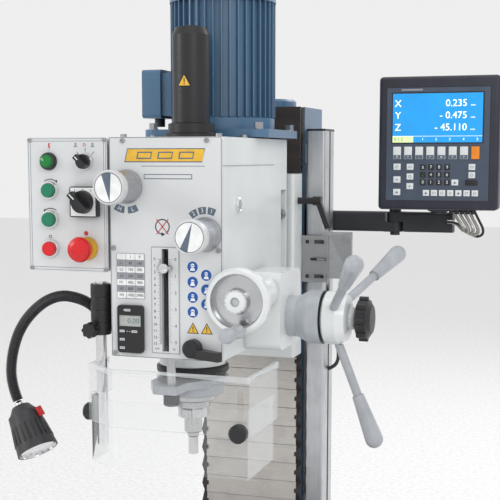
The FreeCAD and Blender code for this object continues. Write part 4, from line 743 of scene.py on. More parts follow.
def dress(frame: dict, node: str, base: Finish, *rules: tuple[Finish, Test]) -> None:
    """Gives a CAD node its finishes, face by face.

    Args:
        frame: The loaded frame.
        node: The node's name.
        base: The finish of faces that no rule takes.
        *rules: (finish, test of a face's centre), the last one that holds wins.
    """
    data = frame["nodes"][node].data
    data.materials.clear()
    for finish in (base, *(rule[0] for rule in rules)):
        data.materials.append(finish.material())
    for face in data.polygons:
        face.material_index = 0
        for index, (_, test) in enumerate(rules, 1):
            if test(face.center):
                face.material_index = index


def dress_all(frame: dict, finish: Finish, *nodes: str) -> None:
    """Gives each of several CAD nodes the same finish."""
    for node in nodes:
        dress(frame, node, finish)


def within(low: Sequence[float], high: Sequence[float], slack: float = 0.2) -> Test:
    """A test for points between two corners in millimetres of the shared frame."""
    low = [(c - slack) * MM for c in low]
    high = [(c + slack) * MM for c in high]
    return lambda spot: all(a <= c <= b for a, c, b in zip(low, spot, high))


def round_axis(axis: Axis, centre: Vector, inner: float, outer: float, low: float = -9e9,
               high: float = 9e9) -> Test:
    """A test for points between two radii of an axis, and between two heights, in millimetres."""
    def test(spot: Vector) -> bool:
        away = spot - centre
        along = away.dot(axis.vector)
        radius = (away - axis.vector * along).length / MM
        return inner <= radius <= outer and low <= along / MM <= high
    return test


# ---------------------------------------------------------------- the machine's sub-assemblies


class Castings:
    """Base, column, saddle, table and the head's castings, with the scale's reader."""

    def build(self, frame: dict) -> None:
        """Dresses the castings and the parts on them."""
        dress(frame, "base_casting", CAST_BLUE, (STEEL, within((-77, -335, 96), (77, 162, 121))))
        dress(frame, "column", BLUE, (STEEL, within((-73, 180, 145), (73, 200, 1062))),
              (ZINC, within((-122, 190, 144.5), (-98, 340, 170))),
              (ZINC, within((98, 190, 144.5), (122, 340, 170))))
        dress(frame, "z_drive_cover", BLUE)
        dress(frame, "z_leadscrew", STEEL)
        dress(frame, "z_scale_cover", SCALE_ALU, (BLACK, within((103, 183, 1017), (138, 253, 1022))),
              (BLACK, within((103, 183, 295), (138, 253, 300))))
        dress(frame, "y_saddle", WHITE, (STEEL, within((-76, -256, 172), (76, -4, 197))),
              (STEEL, within((-82, -256, 94), (82, -4, 121))),
              (BRASS, within((-23, -147, 183), (23, -113, 212))))
        dress(frame, "table", IRON)
        dress(frame, "table_fittings", BLUE, (STEEL, within((-400, -70, 171), (400, -50, 197))))
        for node, axis, height in (("x_leadscrew", Axis.X, 0.198), ("y_leadscrew", Axis.Y, 0.088)):
            dress(frame, node, STEEL, (CHROME, round_axis(axis, Vector((0, SCREW_AXIS_Y, height)), 12, 30)))
        dress(frame, "x_handwheels", CHROME, (BLACK, self.crank_grip))
        grip = round_axis(Axis.Y, Vector((0, -0.4, 0.146)), 0, 12.2, -70, 8)
        dress(frame, "y_handwheel", CHROME, (BLACK, grip))
        dress_all(frame, BLACK, "x_lock", "y_lock", "z_lock_lever", "quill_lock_lever")
        dress(frame, "head_casting", WHITE, (BLACK, within((-60, -190, 625), (60, -70, 638.8))),
              (CHROME, within((90, -180, 884), (96, -152, 910))),
              (GLASS, round_axis(Axis.X, at(0, -36, -103), 0, 8.4, 89.5, 96)))
        dress(frame, "head_cover", WHITE, (STEEL, within((-39, -170, 959), (39, -90, 977))))
        dress(frame, "head_slide", WHITE, (STEEL, within((59, 185, 609), (78, 199, 941))),
              (BRASS, within((-28, 170, 755), (28, 283, 825))))
        dress(frame, "head_fasteners", ZINC)
        self.seams()
        dress(frame, "reader_bracket", PLATE_ALU, (ZINC, within((100, 158, 740), (150, 164.1, 830))),
              (ZINC, within((170, 164.6, 750), (190, 170.1, 830))))

    @staticmethod
    def crank_grip(spot: Vector) -> bool:
        """Whether a face belongs to a table handwheel's grip or its end cap."""
        reach = Vector((spot.y + 0.188, spot.z - 0.198)).length
        return abs(spot.x) > 0.4735 or (reach < 0.0125 and abs(spot.x) > 0.464)

    @staticmethod
    def seams() -> None:
        """A grey line of painted shade in the joint between the head's casting and its cover, at both sides.
        """
        for name, x, turn in (("right", 91, 1), ("left", -91, -1)):
            line = Print(Plane(at(x, 0, 0), Axis.Y.vector * turn), 0.03)
            low, high = sorted((-108.0 * turn, 150.0 * turn))
            # painted shade: a thin grey line stands in for the shade in the joint
            line.rect(low, -43.5, high, -42.7, INK_GREY)
            line.piece(f"head_seam_{name}", "head")


@dataclass
class WayCovers:
    """The folded cover below the head's slide and the rubber sheet above it."""

    foot: float = 150.0
    top: float = 609.5
    folds: int = 13
    sheet_low: float = 940.5
    sheet_high: float = 1061.0

    def build(self) -> None:
        """Models both covers in place of their CAD nodes and takes them off their body."""
        lower = self.lamellas().piece("folded_cover", "frame")
        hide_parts("lower_bellows")
        self.span(lower, self.foot + 6, self.top - 6)
        upper = self.sheet().piece("rubber_cover", "frame")
        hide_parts("upper_way_cover")
        self.span(upper, self.sheet_high - 4, self.sheet_low + 4)

    @staticmethod
    def span(cover: bpy.types.Object, start: float, end: float) -> None:
        """Takes a cover off its body and bakes its place into its mesh."""
        cover.parent = None
        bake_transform(cover)

    def strip(self, shape: Shape, profile: Sequence[Pair], low: float, high: float, finish: Finish) -> None:
        """A prism along X, from a closed outline of (y, z) points in millimetres."""
        ends = [[shape.mesh.verts.new(Vector((x, y, z)) * MM) for y, z in profile] for x in (low, high)]
        faces = [shape.mesh.faces.new(ends[0]), shape.mesh.faces.new(list(reversed(ends[1])))]
        count = len(profile)
        for i in range(count):
            j = (i + 1) % count
            faces.append(shape.mesh.faces.new((ends[0][j], ends[0][i], ends[1][i], ends[1][j])))
        shape.dress(faces, finish, False)

    def lamellas(self) -> Shape:
        """Grey plates that overlap downwards, on black folds that show at both sides."""
        cover = Shape()
        pitch = (self.top - self.foot) / self.folds
        for fold in range(self.folds):
            low = self.foot + fold * pitch
            self.strip(cover, ((169.2, low + 0.6), (170.8, low + 0.6), (174.4, low + pitch - 0.8),
                               (172.8, low + pitch - 0.8)), -89, 89, LAMELLA)
            for side in (-1, 1):
                ends = sorted((side * 86.0, side * 98.0))
                self.strip(cover, ((182.6, low), (181.0, low), (168.0, low + pitch * 0.5),
                                   (181.0, low + pitch), (182.6, low + pitch), (171.0, low + pitch * 0.5)),
                           *ends, RUBBER)
            self.strip(cover, self.slab(177, 178.2, low, low + pitch), -92, 92, RUBBER)
        self.strip(cover, self.slab(168, 175, self.top - 9, self.top), -97, 97, BLACK)
        return cover

    @staticmethod
    def slab(front: float, back: float, low: float, high: float) -> tuple[Pair, ...]:
        """The outline of an upright slab."""
        return (front, low), (back, low), (back, high), (front, high)

    def sheet(self) -> Shape:
        """A rubber sheet with faint waves."""
        rows, sheet = 28, Shape()
        step = (self.sheet_high - self.sheet_low) / rows
        front = [(178.2 + 0.9 * math.sin(row * 0.9), self.sheet_low + row * step) for row in range(rows + 1)]
        back = [(y + 2.6, z) for y, z in reversed(front)]
        self.strip(sheet, front + back, -92.5, 92.5, RUBBER)
        return sheet


class ScaleReader:
    """The slots and screws on the scale reader's front plate, and the cable behind it."""

    FACE_Y = 159.2
    LEAD = ((134, 205, 742), (142, 210, 700), (152, 214, 640), (160, 218, 600), (150, 222, 575),
            (128, 224, 570))

    def build(self) -> None:
        """Adds the marks of the slots and the screws' sockets, and the cable."""
        marks = Print(Plane(Vector((0, self.FACE_Y, 0)) * MM), 0.05)
        for u, v in ((112, 754), (140, 754), (112, 817), (140, 817)):
            marks.rect(u - 15 if u > 120 else u - 3, v - 3.2, u + 3, v + 3.2, DARK_STEEL, 0)
            marks.disc(u, v, 3.6, INK_BLACK, 1, 24)
            marks.disc(u, v, 1.6, DARK_STEEL, 2, 6)
        marks.rect(118, 783, 146, 787.5, INK_BLACK, 0)
        marks.rect(130, 783.6, 145, 786.9, ZINC, 1)
        marks.piece("reader_slots", "slide")
        lead = Shape()
        lead.tube([Vector(spot) * MM for spot in self.LEAD], 0.0035, LAMP_GREY, 12)
        lead.piece("reader_lead", "slide")


@dataclass
class Motor:
    """The motor, the painted shade of its cooling holes and the drawbar's cap in front of it."""

    axis: Vector = field(default_factory=lambda: at(0, 150, 0))
    cap_radius: float = 29.6
    cowl_top: float = 291.9

    def build(self, frame: dict) -> None:
        """Dresses the motor and the parts that it drives."""
        dress(frame, "motor_housing", BLUE, (DARK_STEEL, round_axis(Axis.Z, self.axis, 45, 71.9, 59, 196)),
              (BLACK, within((-130, 5, 1020), (-104, 35, 1035.5))))
        dress_all(frame, STEEL, "motor_rotor", "intermediate_gears", "drive_sleeve")
        dress(frame, "drawbar_cover", BLACK)
        self.air_holes()
        self.sign()

    def air_holes(self) -> None:
        """Rings of thin black discs on the fan's cowl: painted shade where its cooling holes are."""
        cowl = Shape()
        for ring, (radius, count) in enumerate(((22, 10), (38, 18), (54, 26), (68, 32))):
            for step in range(count):
                x, y = polar(radius, 360 * (step + 0.5 * (ring % 2)) / count)
                spot = self.axis + Vector((x, y, self.cowl_top - 1.8 * radius / 78)) * MM
                # painted shade: a thin black disc stands in for the dark inside of each hole
                cowl.turned(spot, Axis.Z.vector, ((0, -0.4), (4.2, -0.4), (4.2, 0.4), (0, 0.4)),
                            INK_BLACK, 12)
        cowl.piece("cowl_air_holes", "head")

    def sign(self) -> None:
        """A warning triangle on the front of the drawbar's cap."""
        front = at(0, 0, 88) + Vector((0, -(self.cap_radius + 0.7) * MM, 0))
        sign = Print(Plane(front), 0.0)
        sign.shape(((-11.5, -9), (11.5, -9), (0, 11)), INK_BLACK, 0)
        sign.shape(((-9.2, -7.6), (9.2, -7.6), (0, 8.4)), INK_AMBER, 1)
        sign.rect(-0.9, -2.6, 0.9, 4.2, INK_BLACK, 2)
        sign.disc(0, -4.9, 1.1, INK_BLACK, 2, 12)
        sign.piece("cap_warning_sign", "drawbar_cover")


@dataclass
class Knob:
    """A knurled selector knob with a pointer wedge on its white face."""

    name: str
    x: float
    z: float
    apex: float
    base: Pair
    depth: float = 65.6
    rim: float = 21.4

    def build(self) -> None:
        """Models the knob in place of its CAD node."""
        centre = at(self.x, FRONT, self.z)
        knob = Shape()
        out = -Axis.Y.vector
        grip = knob.turned(centre, out,
                           ((6, -46), (6, -1), (6, 0.6), (25.5, 0.6), (25.9, 3), (25.4, 6), (24.6, 7),
                            (24.6, 9), (24.6, 20), (24.6, 34), (24.6, 46), (24.6, 50), (24.2, 50.4),
                            (0, 50.4), (0, -46)), KNOB, 216)
        knob.fluted(centre, out, grip, 72, 0.55, 8.9, 50.1)
        knob.turned(centre, out, ((0, 50.5), (24.0, 50.5), (25.6, 51.4), (26, 53), (26, 62), (25.2, 65),
                                  (23.4, 66.4), (22.2, self.depth), (0, self.depth)), GRIP_WHITE, 96)
        made = knob.piece(self.name + "_body", self.name)
        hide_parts(self.name)
        face = Print(Plane(at(self.x, FRONT - self.depth, self.z)))
        face.disc(0, 0, 21.8, INK_WHITE, 0, 64)
        start, end = self.base
        points = [polar(self.rim, self.apex)]
        points += [polar(self.rim, start + (end - start) * i / 8) for i in range(9)]
        face.shape(points, INK_SLATE, 1)
        face.arc(0, 0, self.rim, 22.1, 0, 360, INK_BLACK, 2, 64)
        face.piece(self.name + "_face", self.name)


@dataclass
class Panel:
    """The head's front panel: plates, scale, signs and the quill's depth display."""

    plane: Plane = field(default_factory=lambda: Plane(at(0, FRONT, 0)))
    zero: float = -183.6
    speeds: tuple[tuple[str, str, str], ...] = (
        ("", "I", "II"), ("L1", "80", "160"), ("L2", "150", "300"), ("L3", "260", "520"),
        ("H1", "450", "900"), ("H2", "800", "1600"), ("H3", "1450", "2900"))

    def build(self, frame: dict) -> None:
        """Dresses the panel and prints its marks."""
        dress(frame, "front_panel", PANEL,
              (INK_WHITE, within((-80.6, -242.9, 754), (-34.5, -242.2, 825))),
              (BLACK, within((-78.1, -249.1, 670.9), (-35.5, -242.1, 744.6))))
        self.marks()
        self.scale()
        self.table()
        self.display()
        self.signs()
        Knob("range_knob", -62.3, -74.5, -84, (78, 120)).build()
        Knob("speed_knob", 64.5, -144.7, 78, (228, 262)).build()

    def marks(self) -> None:
        """Painted shade along the panel's edge, the plain maker's bar and the knobs' arcs of figures."""
        ink = Print(self.plane)
        # painted shade: a thin black line along the panel's edge, where its thickness throws shade
        ink.frame(-90.4, -335.8, 90.4, -0.6, 0.6, INK_BLACK)
        ink.shape(((-66, -38), (60, -38), (65, -17), (-61, -17)), INK_SLATE, 0)
        ink.shape(((-64, -36.4), (60.5, -36.4), (64, -18.4), (-60, -18.4)), INK_AMBER, 1)
        for step in range(3):
            left = -46 + 34 * step
            ink.shape(((left, -33), (left + 24, -33), (left + 26, -22), (left + 2, -22)), INK_SLATE, 2)
            ink.shape(((left + 2.5, -31), (left + 22.5, -31), (left + 24, -24), (left + 4, -24)),
                      INK_AMBER, 3)
        ink.rect(-38, -44.2, 64, -42.9, INK_GREY, 0)
        ink.rect(-34, -63, 44, -55.5, INK_SLATE, 0)
        ink.rect(-32.8, -61.8, 42.8, -56.7, PANEL, 1)
        for angle, figure in ((-110, "H"), (-75, "L")):
            self.tile(ink, -62.3, -74.5, angle, 13, figure)
        for angle, figure in ((121, "2"), (97.5, "3"), (74, "1")):
            self.tile(ink, 64.5, -144.7, angle, 9.5, figure)
        ink.piece("panel_marks", "head")

    def tile(self, ink: Print, u: float, v: float, angle: float, half: float, figure: str) -> None:
        """One slate tile with a figure, on an arc round a knob."""
        ink.arc(u, v, 30.5, 41, angle - half, angle + half, INK_SLATE, 0, 8)
        x, z = polar(35.7, angle)
        ink.text(u + x, v + z, 6.2, figure, INK_WHITE, 1, angle - 90 if angle > 0 else angle + 90)

    def scale(self) -> None:
        """The depth scale: centimetres on the left, inches on the right."""
        ink = Print(Plane(at(0, FRONT - 1, 0)))
        ink.frame(-22.7, -327.7, 22.2, -165.3, 0.45, INK_BLACK)
        for count, pitch, whole, half, side, edge, longs, spot, size in (
                (131, 1.0, 10, 5, -1, -6.6, (6.2, 4.6, 3.0), -17.4, 4.4),
                (41, 25.4 / 8, 8, 4, 1, 6.0, (6.0, 4.4, 2.8), 16.6, 4.6)):
            for step in range(count):
                v = self.zero - step * pitch
                long = longs[0] if step % whole == 0 else longs[1] if step % half == 0 else longs[2]
                left, right = sorted((edge, edge + side * long))
                ink.rect(left, v - 0.16, right, v + 0.16, INK_BLACK)
                if step % whole == 0:
                    ink.text(spot, v, size, str(step // whole), INK_BLACK)
        ink.text(-14.5, -320.6, 4.0, "cm", INK_BLACK)
        ink.text(13.5, -320.6, 4.0, "in", INK_BLACK)
        ink.rect(-5.6, -325, -5.2, -168, INK_BLACK)
        ink.rect(4.6, -325, 5.0, -168, INK_BLACK)
        ink.piece("depth_scale_print", "head")

    def table(self) -> None:
        """The table of spindle speeds."""
        ink = Print(Plane(at(0, FRONT - 0.8, 0)))
        left, top, wide, high = -80.2, -176.4, 15.2, 9.85
        for line, row in enumerate(self.speeds):
            v = top - line * high
            if line % 2:
                ink.rect(left, v - high, left + 3 * wide, v, INK_GREY, 0)
            for column, words in enumerate(row):
                if words:
                    ink.text(left + wide * (column + 0.5), v - high / 2, 4.2, words, INK_BLACK, 2)
        for line in range(8):
            v = top - line * high
            ink.rect(left, v - 0.25, left + 3 * wide, v + 0.25, INK_SLATE, 1)
        for column in range(4):
            u = left + column * wide
            ink.rect(u - 0.25, top - 7 * high, u + 0.25, top, INK_SLATE, 1)
        ink.piece("speed_table_print", "head")

    def display(self) -> None:
        """The black depth display: its grey window, figures and keys."""
        glass = Print(Plane(at(0, -117.5, 0)))
        glass.rect(-75, -288, -39, -271, LCD, 0)
        glass.text(-41.5, -279.8, 8.2, "0.00", INK_SLATE, 1, 0, "RIGHT")
        glass.piece("depth_display_window", "head")
        keys = Print(Plane(at(0, -119, 0)))
        for u, v, wide in ((-60.5, -262.8, 9), (-70, -295.5, 8), (-49.5, -295.6, 9), (-70, -308.4, 8),
                           (-70, -321.5, 8)):
            keys.rect(u - wide / 2, v - 1.7, u + wide / 2, v + 1.7, INK_WHITE, 0)
            keys.rect(u - wide / 2 + 0.6, v - 1.1, u + wide / 2 - 0.6, v + 1.1, INK_GREY, 1)
        keys.shape(((-67.5, -262.8), (-65.8, -261.2), (-65.8, -264.4)), INK_WHITE, 0)
        for u in (-61.5, -57.5):
            keys.rect(u - 1.2, -295.9, u + 1.2, -295.3, INK_WHITE, 0)
        keys.piece("depth_display_keys", "head")

    def signs(self) -> None:
        """Blue duty signs, amber warning triangles and the sign against shifting while running."""
        ink = Print(self.plane)
        spots = [(43.9, v) for v in (-194, -216.8, -239.8, -262.3)]
        spots += [(65.8, v) for v in (-205.9, -227.8, -249.8)]
        for number, (u, v) in enumerate(spots):
            ink.disc(u, v, 9.0, INK_WHITE, 0)
            ink.disc(u, v, 8.5, INK_BLUE, 1)
            ink.disc(u, v + 2.2 - number % 2, 3.1 - 0.3 * (number % 3), INK_WHITE, 2, 24)
            ink.shape(((u - 4.2, v - 5.6), (u + 4.2, v - 5.6), (u + 2.6, v - 1.4), (u - 2.6, v - 1.4)),
                      INK_WHITE, 2)
            ink.rect(u - 2.4, v + 1.7 - number % 2, u + 2.4, v + 2.8 - number % 2, INK_BLUE, 3)
        for u in (44, 66.2):
            ink.shape(((u - 9.6, -295), (u + 9.6, -295), (u, -278)), INK_BLACK, 0)
            ink.shape(((u - 7.6, -293.8), (u + 7.6, -293.8), (u, -280.4)), INK_AMBER, 1)
            ink.rect(u - 0.8, -289, u + 0.8, -284, INK_BLACK, 2)
            ink.disc(u, -291.2, 1.0, INK_BLACK, 2, 12)
        u, v = -4.5, -134.5
        ink.arc(u, v, 10.2, 11.9, -60, 280, INK_BLACK, 0, 40)
        ink.shape(((u - 1.5, v - 14.6), (u - 1.5, v - 8.2), (u + 4.6, v - 11.2)), INK_BLACK, 1)
        for turn in (50, -50):
            ink.rect(u - 15, v - 0.7, u + 15, v + 0.7, INK_RED, 2, turn)
        ink.piece("panel_signs", "head")


@dataclass
class ControlBox:
    """The electrical box at the head's left, with its lid, buttons and printed marks."""

    plane: Plane = field(default_factory=lambda: Plane(at(0, FRONT, 0)))
    pilot: Pair = (-193.7, -36.7)
    selector: Pair = (-131.2, -36.9)
    switch: Pair = (-130.5, -98.4)
    stop: Pair = (-130.0, -170.4)
    buttons: tuple[tuple[str, float, Finish], ...] = (("start_button", -81.4, GREEN),
                                                      ("second_start_button", -126.5, GREEN),
                                                      ("stop_button", -172.0, RED))
    column: float = -192.4

    def build(self, frame: dict) -> None:
        """Dresses the box, its lid and its controls."""
        dress(frame, "control_box", WHITE, (BLACK, within((-206, -221, 889), (-159, -161, 971))))
        rules = [(CHROME, self.ring((self.column, z), 15.5, -120, -112.05)) for _, z, _ in self.buttons]
        rules += [(BLACK, self.ring(self.pilot, 15.5, -120.5, -95)),
                  (LAMP_GREEN, self.ring(self.pilot, 10, -129, -119.5)),
                  (YELLOW, self.ring(self.stop, 18.5, -124, -112.05)),
                  (GLOSS_BLACK, within((-153.3, -254.1, 878), (-107.7, -242.4, 925.2)))]
        dress(frame, "box_lid", PANEL, *rules)
        for name, _, finish in self.buttons:
            dress(frame, name, finish)
        dress(frame, "emergency_stop", RED, (BLACK, self.ring(self.stop, 7.5, -130, -90)))
        dress(frame, "light_selector", BLACK, (CHROME, self.ring(self.selector, 14, -119.2, -112, 11.9)))
        dress(frame, "main_switch", BLACK)
        self.marks()
        self.handles()

    @staticmethod
    def ring(spot: Pair, outer: float, low: float, high: float, inner: float = 0.0) -> Test:
        """A test for points round the axis of a control on the lid."""
        return round_axis(Axis.Y, at(spot[0], 0, spot[1]), inner, outer, low, high)

    def marks(self) -> None:
        """The line round the lid and the signs beside the controls."""
        ink = Print(self.plane)
        ink.frame(-226, -201.4, -100, -5.4, 0.6, INK_SLATE)
        ink.frame(-229.4, -205.2, -96.6, -1.8, 0.5, INK_SLATE)
        x = self.column
        for z, flip in ((-81.4, 1), (-126.5, -1)):
            ink.arc(x, z, 16.6, 17.8, 55, 125, INK_BLACK, 0, 16)
            away, rise = polar(17.2, 90 - 36 * flip)
            u, v = x + away, z + rise
            ink.shape(((u - 2.2, v + 1.4), (u + 2.2, v + 1.8), (u + 1.6 * flip, v - 2.6)), INK_BLACK, 1)
        ink.arc(-193.6, -153.4, 1.7, 2.6, 0, 360, INK_BLACK, 0, 24)
        u, v = self.pilot[0] + 1.2, -14.6
        ink.shape(((u - 1.6, v + 6), (u + 1.4, v + 6), (u - 0.2, v + 1), (u + 2.0, v + 1), (u - 1.4, v - 6.4),
                   (u - 0.2, v - 0.6), (u - 2.4, v - 0.6)), INK_RED)
        u, v = self.selector
        for turn in (45, 90, 135):
            x, z = polar(18.2, turn)
            ink.rect(u + x - 2.9, v + z - 0.4, u + x + 2.9, v + z + 0.4, INK_BLACK, 0, turn)
        ink.arc(u - 1.5, -11.4, 1.6, 2.5, 0, 360, INK_RED, 0, 24)
        for x in (-147.6, -118.8):
            ink.disc(x, -10, 1.9, INK_GREY, 0, 16)
            ink.shape(((x - 3.6, -15), (x + 3.6, -15), (x + 1.6, -12), (x - 1.6, -12)), INK_GREY)
        ink.disc(-131.8, -147, 3.6, INK_RED)
        ink.piece("lid_marks", "head")

    def handles(self) -> None:
        """The main switch's plate and the white lines on both turning handles."""
        plate = Print(Plane(at(0, FRONT - 12, 0)))
        u, v = self.switch
        plate.rect(u - 21, v - 21.6, u + 21, v + 21.8, INK_WHITE)
        for x, words in ((u - 13.5, "I"), (u, "0"), (u + 13.5, "II")):
            plate.text(x, v + 17.4, 4.4, words, INK_BLACK)
        plate.piece("switch_plate_print", "head")
        for name, body, (u, v), long, y in (("selector", "light_selector", self.selector, 20, -134),
                                            ("switch", "main_switch", self.switch, 34, -146)):
            line = Print(Plane(at(0, y, 0)))
            reach = 0.25 * long
            line.rect(u - reach - 0.16 * long, v + reach - 0.8, u - reach + 0.16 * long, v + reach + 0.8,
                      INK_WHITE, 0, -45)
            line.piece(f"{name}_handle_mark", body)


@dataclass
class Readout:
    """The three-axis readout: its rounded case, glowing screen, keys, and the arm that holds it."""

    x: float = 340.0
    z: float = -6.0
    front: float = 325.0
    values: tuple[tuple[str, str, float], ...] = (
        ("X", "0.235", 69.8), ("Y", "- 0.475", 48.8), ("Z", "- 45.110", 27.8))

    def build(self, frame: dict) -> None:
        """Models the case and lays the screen, keys and leads."""
        self.case()
        self.panel()
        dress_all(frame, POWDER, "arm_inner", "arm_outer")
        self.leads()

    def case(self) -> None:
        """The case with rounded edges, its stepped back and the neck that it stands on."""
        case = Shape()
        low, high = at(233.5, 325, -124), at(446.5, 383.5, 112)
        case.block(low, (high.x, at(0, 372, 0).y, high.z), NAVY, 0.007, 5)
        case.block(at(246, 371, -112), (high.x - 0.0125, high.y, high.z - 0.012), NAVY, 0.009, 4)
        for step in range(9):
            x = 262 + 19.5 * step
            case.block(at(x - 4, 382.8, 20), at(x + 4, 384, 92), BLACK, 0.0005, 1)
        case.turned(at(self.x, 352.5, -132), Axis.Z.vector,
                    ((0, 0), (14.5, 0), (14.5, 4), (20, 6), (20, 9.5), (0, 9.5)), POWDER, 40)
        case.turned(at(self.x, 383.4, -80), Axis.Y.vector,
                    ((0, -2), (9, -2), (9, 1.5), (7.5, 2.5), (0, 2.5)), ZINC, 24)
        made = case.piece("readout_shell", "readout")
        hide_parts("readout_case")

    def panel(self) -> None:
        """The membrane on the front, with screen, figures, marks and keys."""
        face = Print(Plane(at(self.x, self.front, self.z)), 0.05)
        face.rect(-92, -101, 90, 98, SLATE, 0)
        face.frame(-93.2, -102.2, 91.2, 99.2, 1.2, INK_BLACK, 1)
        face.rect(-82.8, -0.5, 80, 89.7, INK_BLACK, 1)
        face.rect(-80.9, 1.6, 77.5, 87.6, SKY, 2)
        face.rect(-80.9, 1.6, -43.7, 12.7, MESSAGE, 3)
        face.rect(-80.9, 12.5, 77.5, 13.0, LETTER, 4)
        face.text(-78, 7.1, 5.4, "0 1 2", INK_SLATE, 4, 0, "LEFT")
        for label, value, v in self.values:
            face.text(-71.6, v, 12.0, label, LETTER, 3)
            face.text(50.5, v, 12.0, value, LETTER, 3, 0, "RIGHT")
            face.text(60.5, v - 3.4, 3.6, "mm", LETTER, 3)
        for spot in range(5):
            face.text(-27 + 24 * spot, 7.1, 4.4, str(spot + 1), LETTER, 3)
        face.rect(-66, 92.6, -28, 95.6, INK_GREY, 1)
        self.keys()
        face.piece("readout_face", "readout")

    def keys(self) -> None:
        """The keys' caps with plain figures and marks."""
        caps = Shape()
        marks = Print(Plane(at(self.x, self.front - 1.2, self.z)), 0.02)
        front = at(self.x, self.front, self.z)

        def cap(spot: Pair, wide: float, high: float, finish: Finish) -> None:
            half = Vector((wide / 2, 0, high / 2)) * MM
            middle = front + Vector((spot[0], 0, spot[1])) * MM
            caps.block(middle - half - Vector((0, 1.2 * MM, 0)), middle + half + Vector((0, 1.5 * MM, 0)),
                       finish, 0.0006, 2)

        for step in range(8):
            u, last = -72.3 + 19.77 * step, step == 7
            cap((u, -16.7), 14, 22, INK_ORANGE if last else FEED_WHITE)
            marks.rect(u - 6.4, -27.2, u + 6.4, -20.5, INK_ORANGE if last else INK_SLATE, 0)
            if not last:
                marks.text(u, -23.8, 4.2, "0+-=#<>"[step], INK_WHITE, 1)
        for number, (u, v, wide, high, words) in enumerate(self.key_rows()):
            dark = words != ""
            cap((u, v), wide, high, BLACK if dark else FEED_WHITE)
            if words.strip():
                marks.text(u, v, 5.6, words, INK_WHITE, 0)
            elif not dark:
                self.mark(marks, u, v, number)
        caps.piece("readout_keys", "readout")
        marks.piece("readout_key_marks", "readout")

    @staticmethod
    def key_rows() -> list[tuple[float, float, float, float, str]]:
        """Every key's middle, width, height and figure; a blank means a dark key without one."""
        rows = [(-71.9, v, 13.0, 11.4, "") for v in (-41.4, -64.1, -86.5)]
        rows += [(-48.4, v, 12.3, 11.0, "") for v in (-41.4, -58.6, -75.8)]
        for line, figures in enumerate(("\u00b1789", ".456", "0123")):
            rows += [(-25.4 + 14.3 * step, -41.9 - 13.4 * line, 10.0, 10.0, figure)
                     for step, figure in enumerate(figures)]
        rows += [(31.4, -68.7, 12.0, 10.5, ""), (60.7, -41.5, 11.6, 11.0, ""), (60.7, -55.6, 11.6, 11.0, ""),
                 (60.2, -68.9, 21.5, 9.8, " ")]
        return rows + [(-19.4 + 14.35 * step, -87.5, 11.3, 10.7, "") for step in range(7)]

    @staticmethod
    def mark(marks: Print, u: float, v: float, kind: int) -> None:
        """One small plain mark on a white key."""
        if kind % 4 == 0:
            marks.arc(u, v, 1.9, 2.6, 0, 360, INK_SLATE, 0, 16)
        elif kind % 4 == 1:
            marks.rect(u - 3, v - 0.35, u + 3, v + 0.35, INK_SLATE, 0)
            marks.rect(u - 0.35, v - 2.4, u + 0.35, v + 2.4, INK_SLATE, 0)
        elif kind % 4 == 2:
            marks.shape(((u - 2.6, v - 2), (u + 2.6, v - 2), (u, v + 2.4)), INK_SLATE, 0)
        else:
            marks.frame(u - 2.8, v - 1.9, u + 2.8, v + 1.9, 0.6, INK_SLATE, 0)

    def leads(self) -> None:
        """Four braided leads and a thin black one, from the arm's pad up into the readout's floor."""
        leads = Shape()
        for number in range(5):
            u = 24 + 9.5 * number
            start = at(352 + 1.5 * number, 372 - 2.0 * number, -147)
            sag = 24 + 6 * number
            points = (start, start + Vector((0.014, 0.004, 0.000)),
                      at(384 + 5 * number, 366, -152 - sag * 0.5),
                      at(self.x + u + 22, 352, -148 - sag * 0.35), at(self.x + u + 6, 347, -134),
                      at(self.x + u, 347, -121))
            thin = number == 4
            leads.tube(points, 0.0024 if thin else 0.0034, BLACK if thin else BRAID, 12,
                       0.0 if thin else 0.0006, 0.0022)
            leads.turned(at(self.x + u, 347, -124.2), -Axis.Z.vector,
                         ((0, -1), (5.2, -1), (5.2, 2.2), (4.4, 7.5), (0, 7.5)), BLACK, 20)
        leads.piece("readout_leads", "readout")


@dataclass
class Guard:
    """The clear spindle guard with its chrome rod, clamp and knobs."""

    rod_x: float = -114.5
    rod_y: float = -100.0
    foot: float = -305.4
    knob: Vector = field(default_factory=lambda: at(-121, -120.4, -296))

    def build(self, frame: dict) -> None:
        """Dresses the guard."""
        dress(frame, "guard_clamp", BLACK,
              (CHROME, round_axis(Axis.Z, at(self.rod_x, self.rod_y, 0), 0, 8.9, -481, -221)))
        self.sleeves()
        dress(frame, "guard_shell", GUARD, (GUARD_EDGE, self.edge))
        dress(frame, "guard_slider", GUARD, (BLACK, within((117, -298.5, 553), (147, -276, 583))),
              (BLACK, within((-149, -236, 553), (-126, -207, 583))))

    def sleeves(self) -> None:
        """The moulded bands round the clamp and the lobes of its knob."""
        bands = Shape()
        outline = [(14.2, self.foot)]
        for step in range(4):
            low = self.foot + 20 * step
            outline += [(15.7, low + 0.8), (15.9, low + 2), (15.9, low + 18), (15.7, low + 19.2),
                        (15.1, low + 19.6)]
        outline.append((14.2, -225.7))
        bands.turned(at(self.rod_x, self.rod_y, 0), Axis.Z.vector, outline, BLACK, 56)
        for turn in range(6):
            x, y = polar(11.6, 60 * turn)
            bands.turned(at(self.rod_x + x, self.rod_y + y, -225.9), Axis.Z.vector,
                         ((0, -0.3), (1.7, -0.3), (1.7, 1.2), (1.1, 1.6), (0, 1.6)), CHROME, 16)
        out = -Axis.Y.vector
        knob = bands.turned(self.knob, out, ((0, 0), (12.4, 0), (12.8, 1.2), (12.8, 3), (12.8, 8), (12.8, 10),
                                             (11.6, 12.4), (6, 12.9), (0, 12.9)), BLACK, 96)
        bands.fluted(self.knob, out, knob, 8, 2.0, 0.9, 12.5)
        bands.piece("clamp_bands", "head")

    @staticmethod
    def edge(spot: Vector) -> bool:
        """Whether a face lies on the shell's upper or lower rim."""
        return spot.z > 0.644 or spot.z < 0.5605


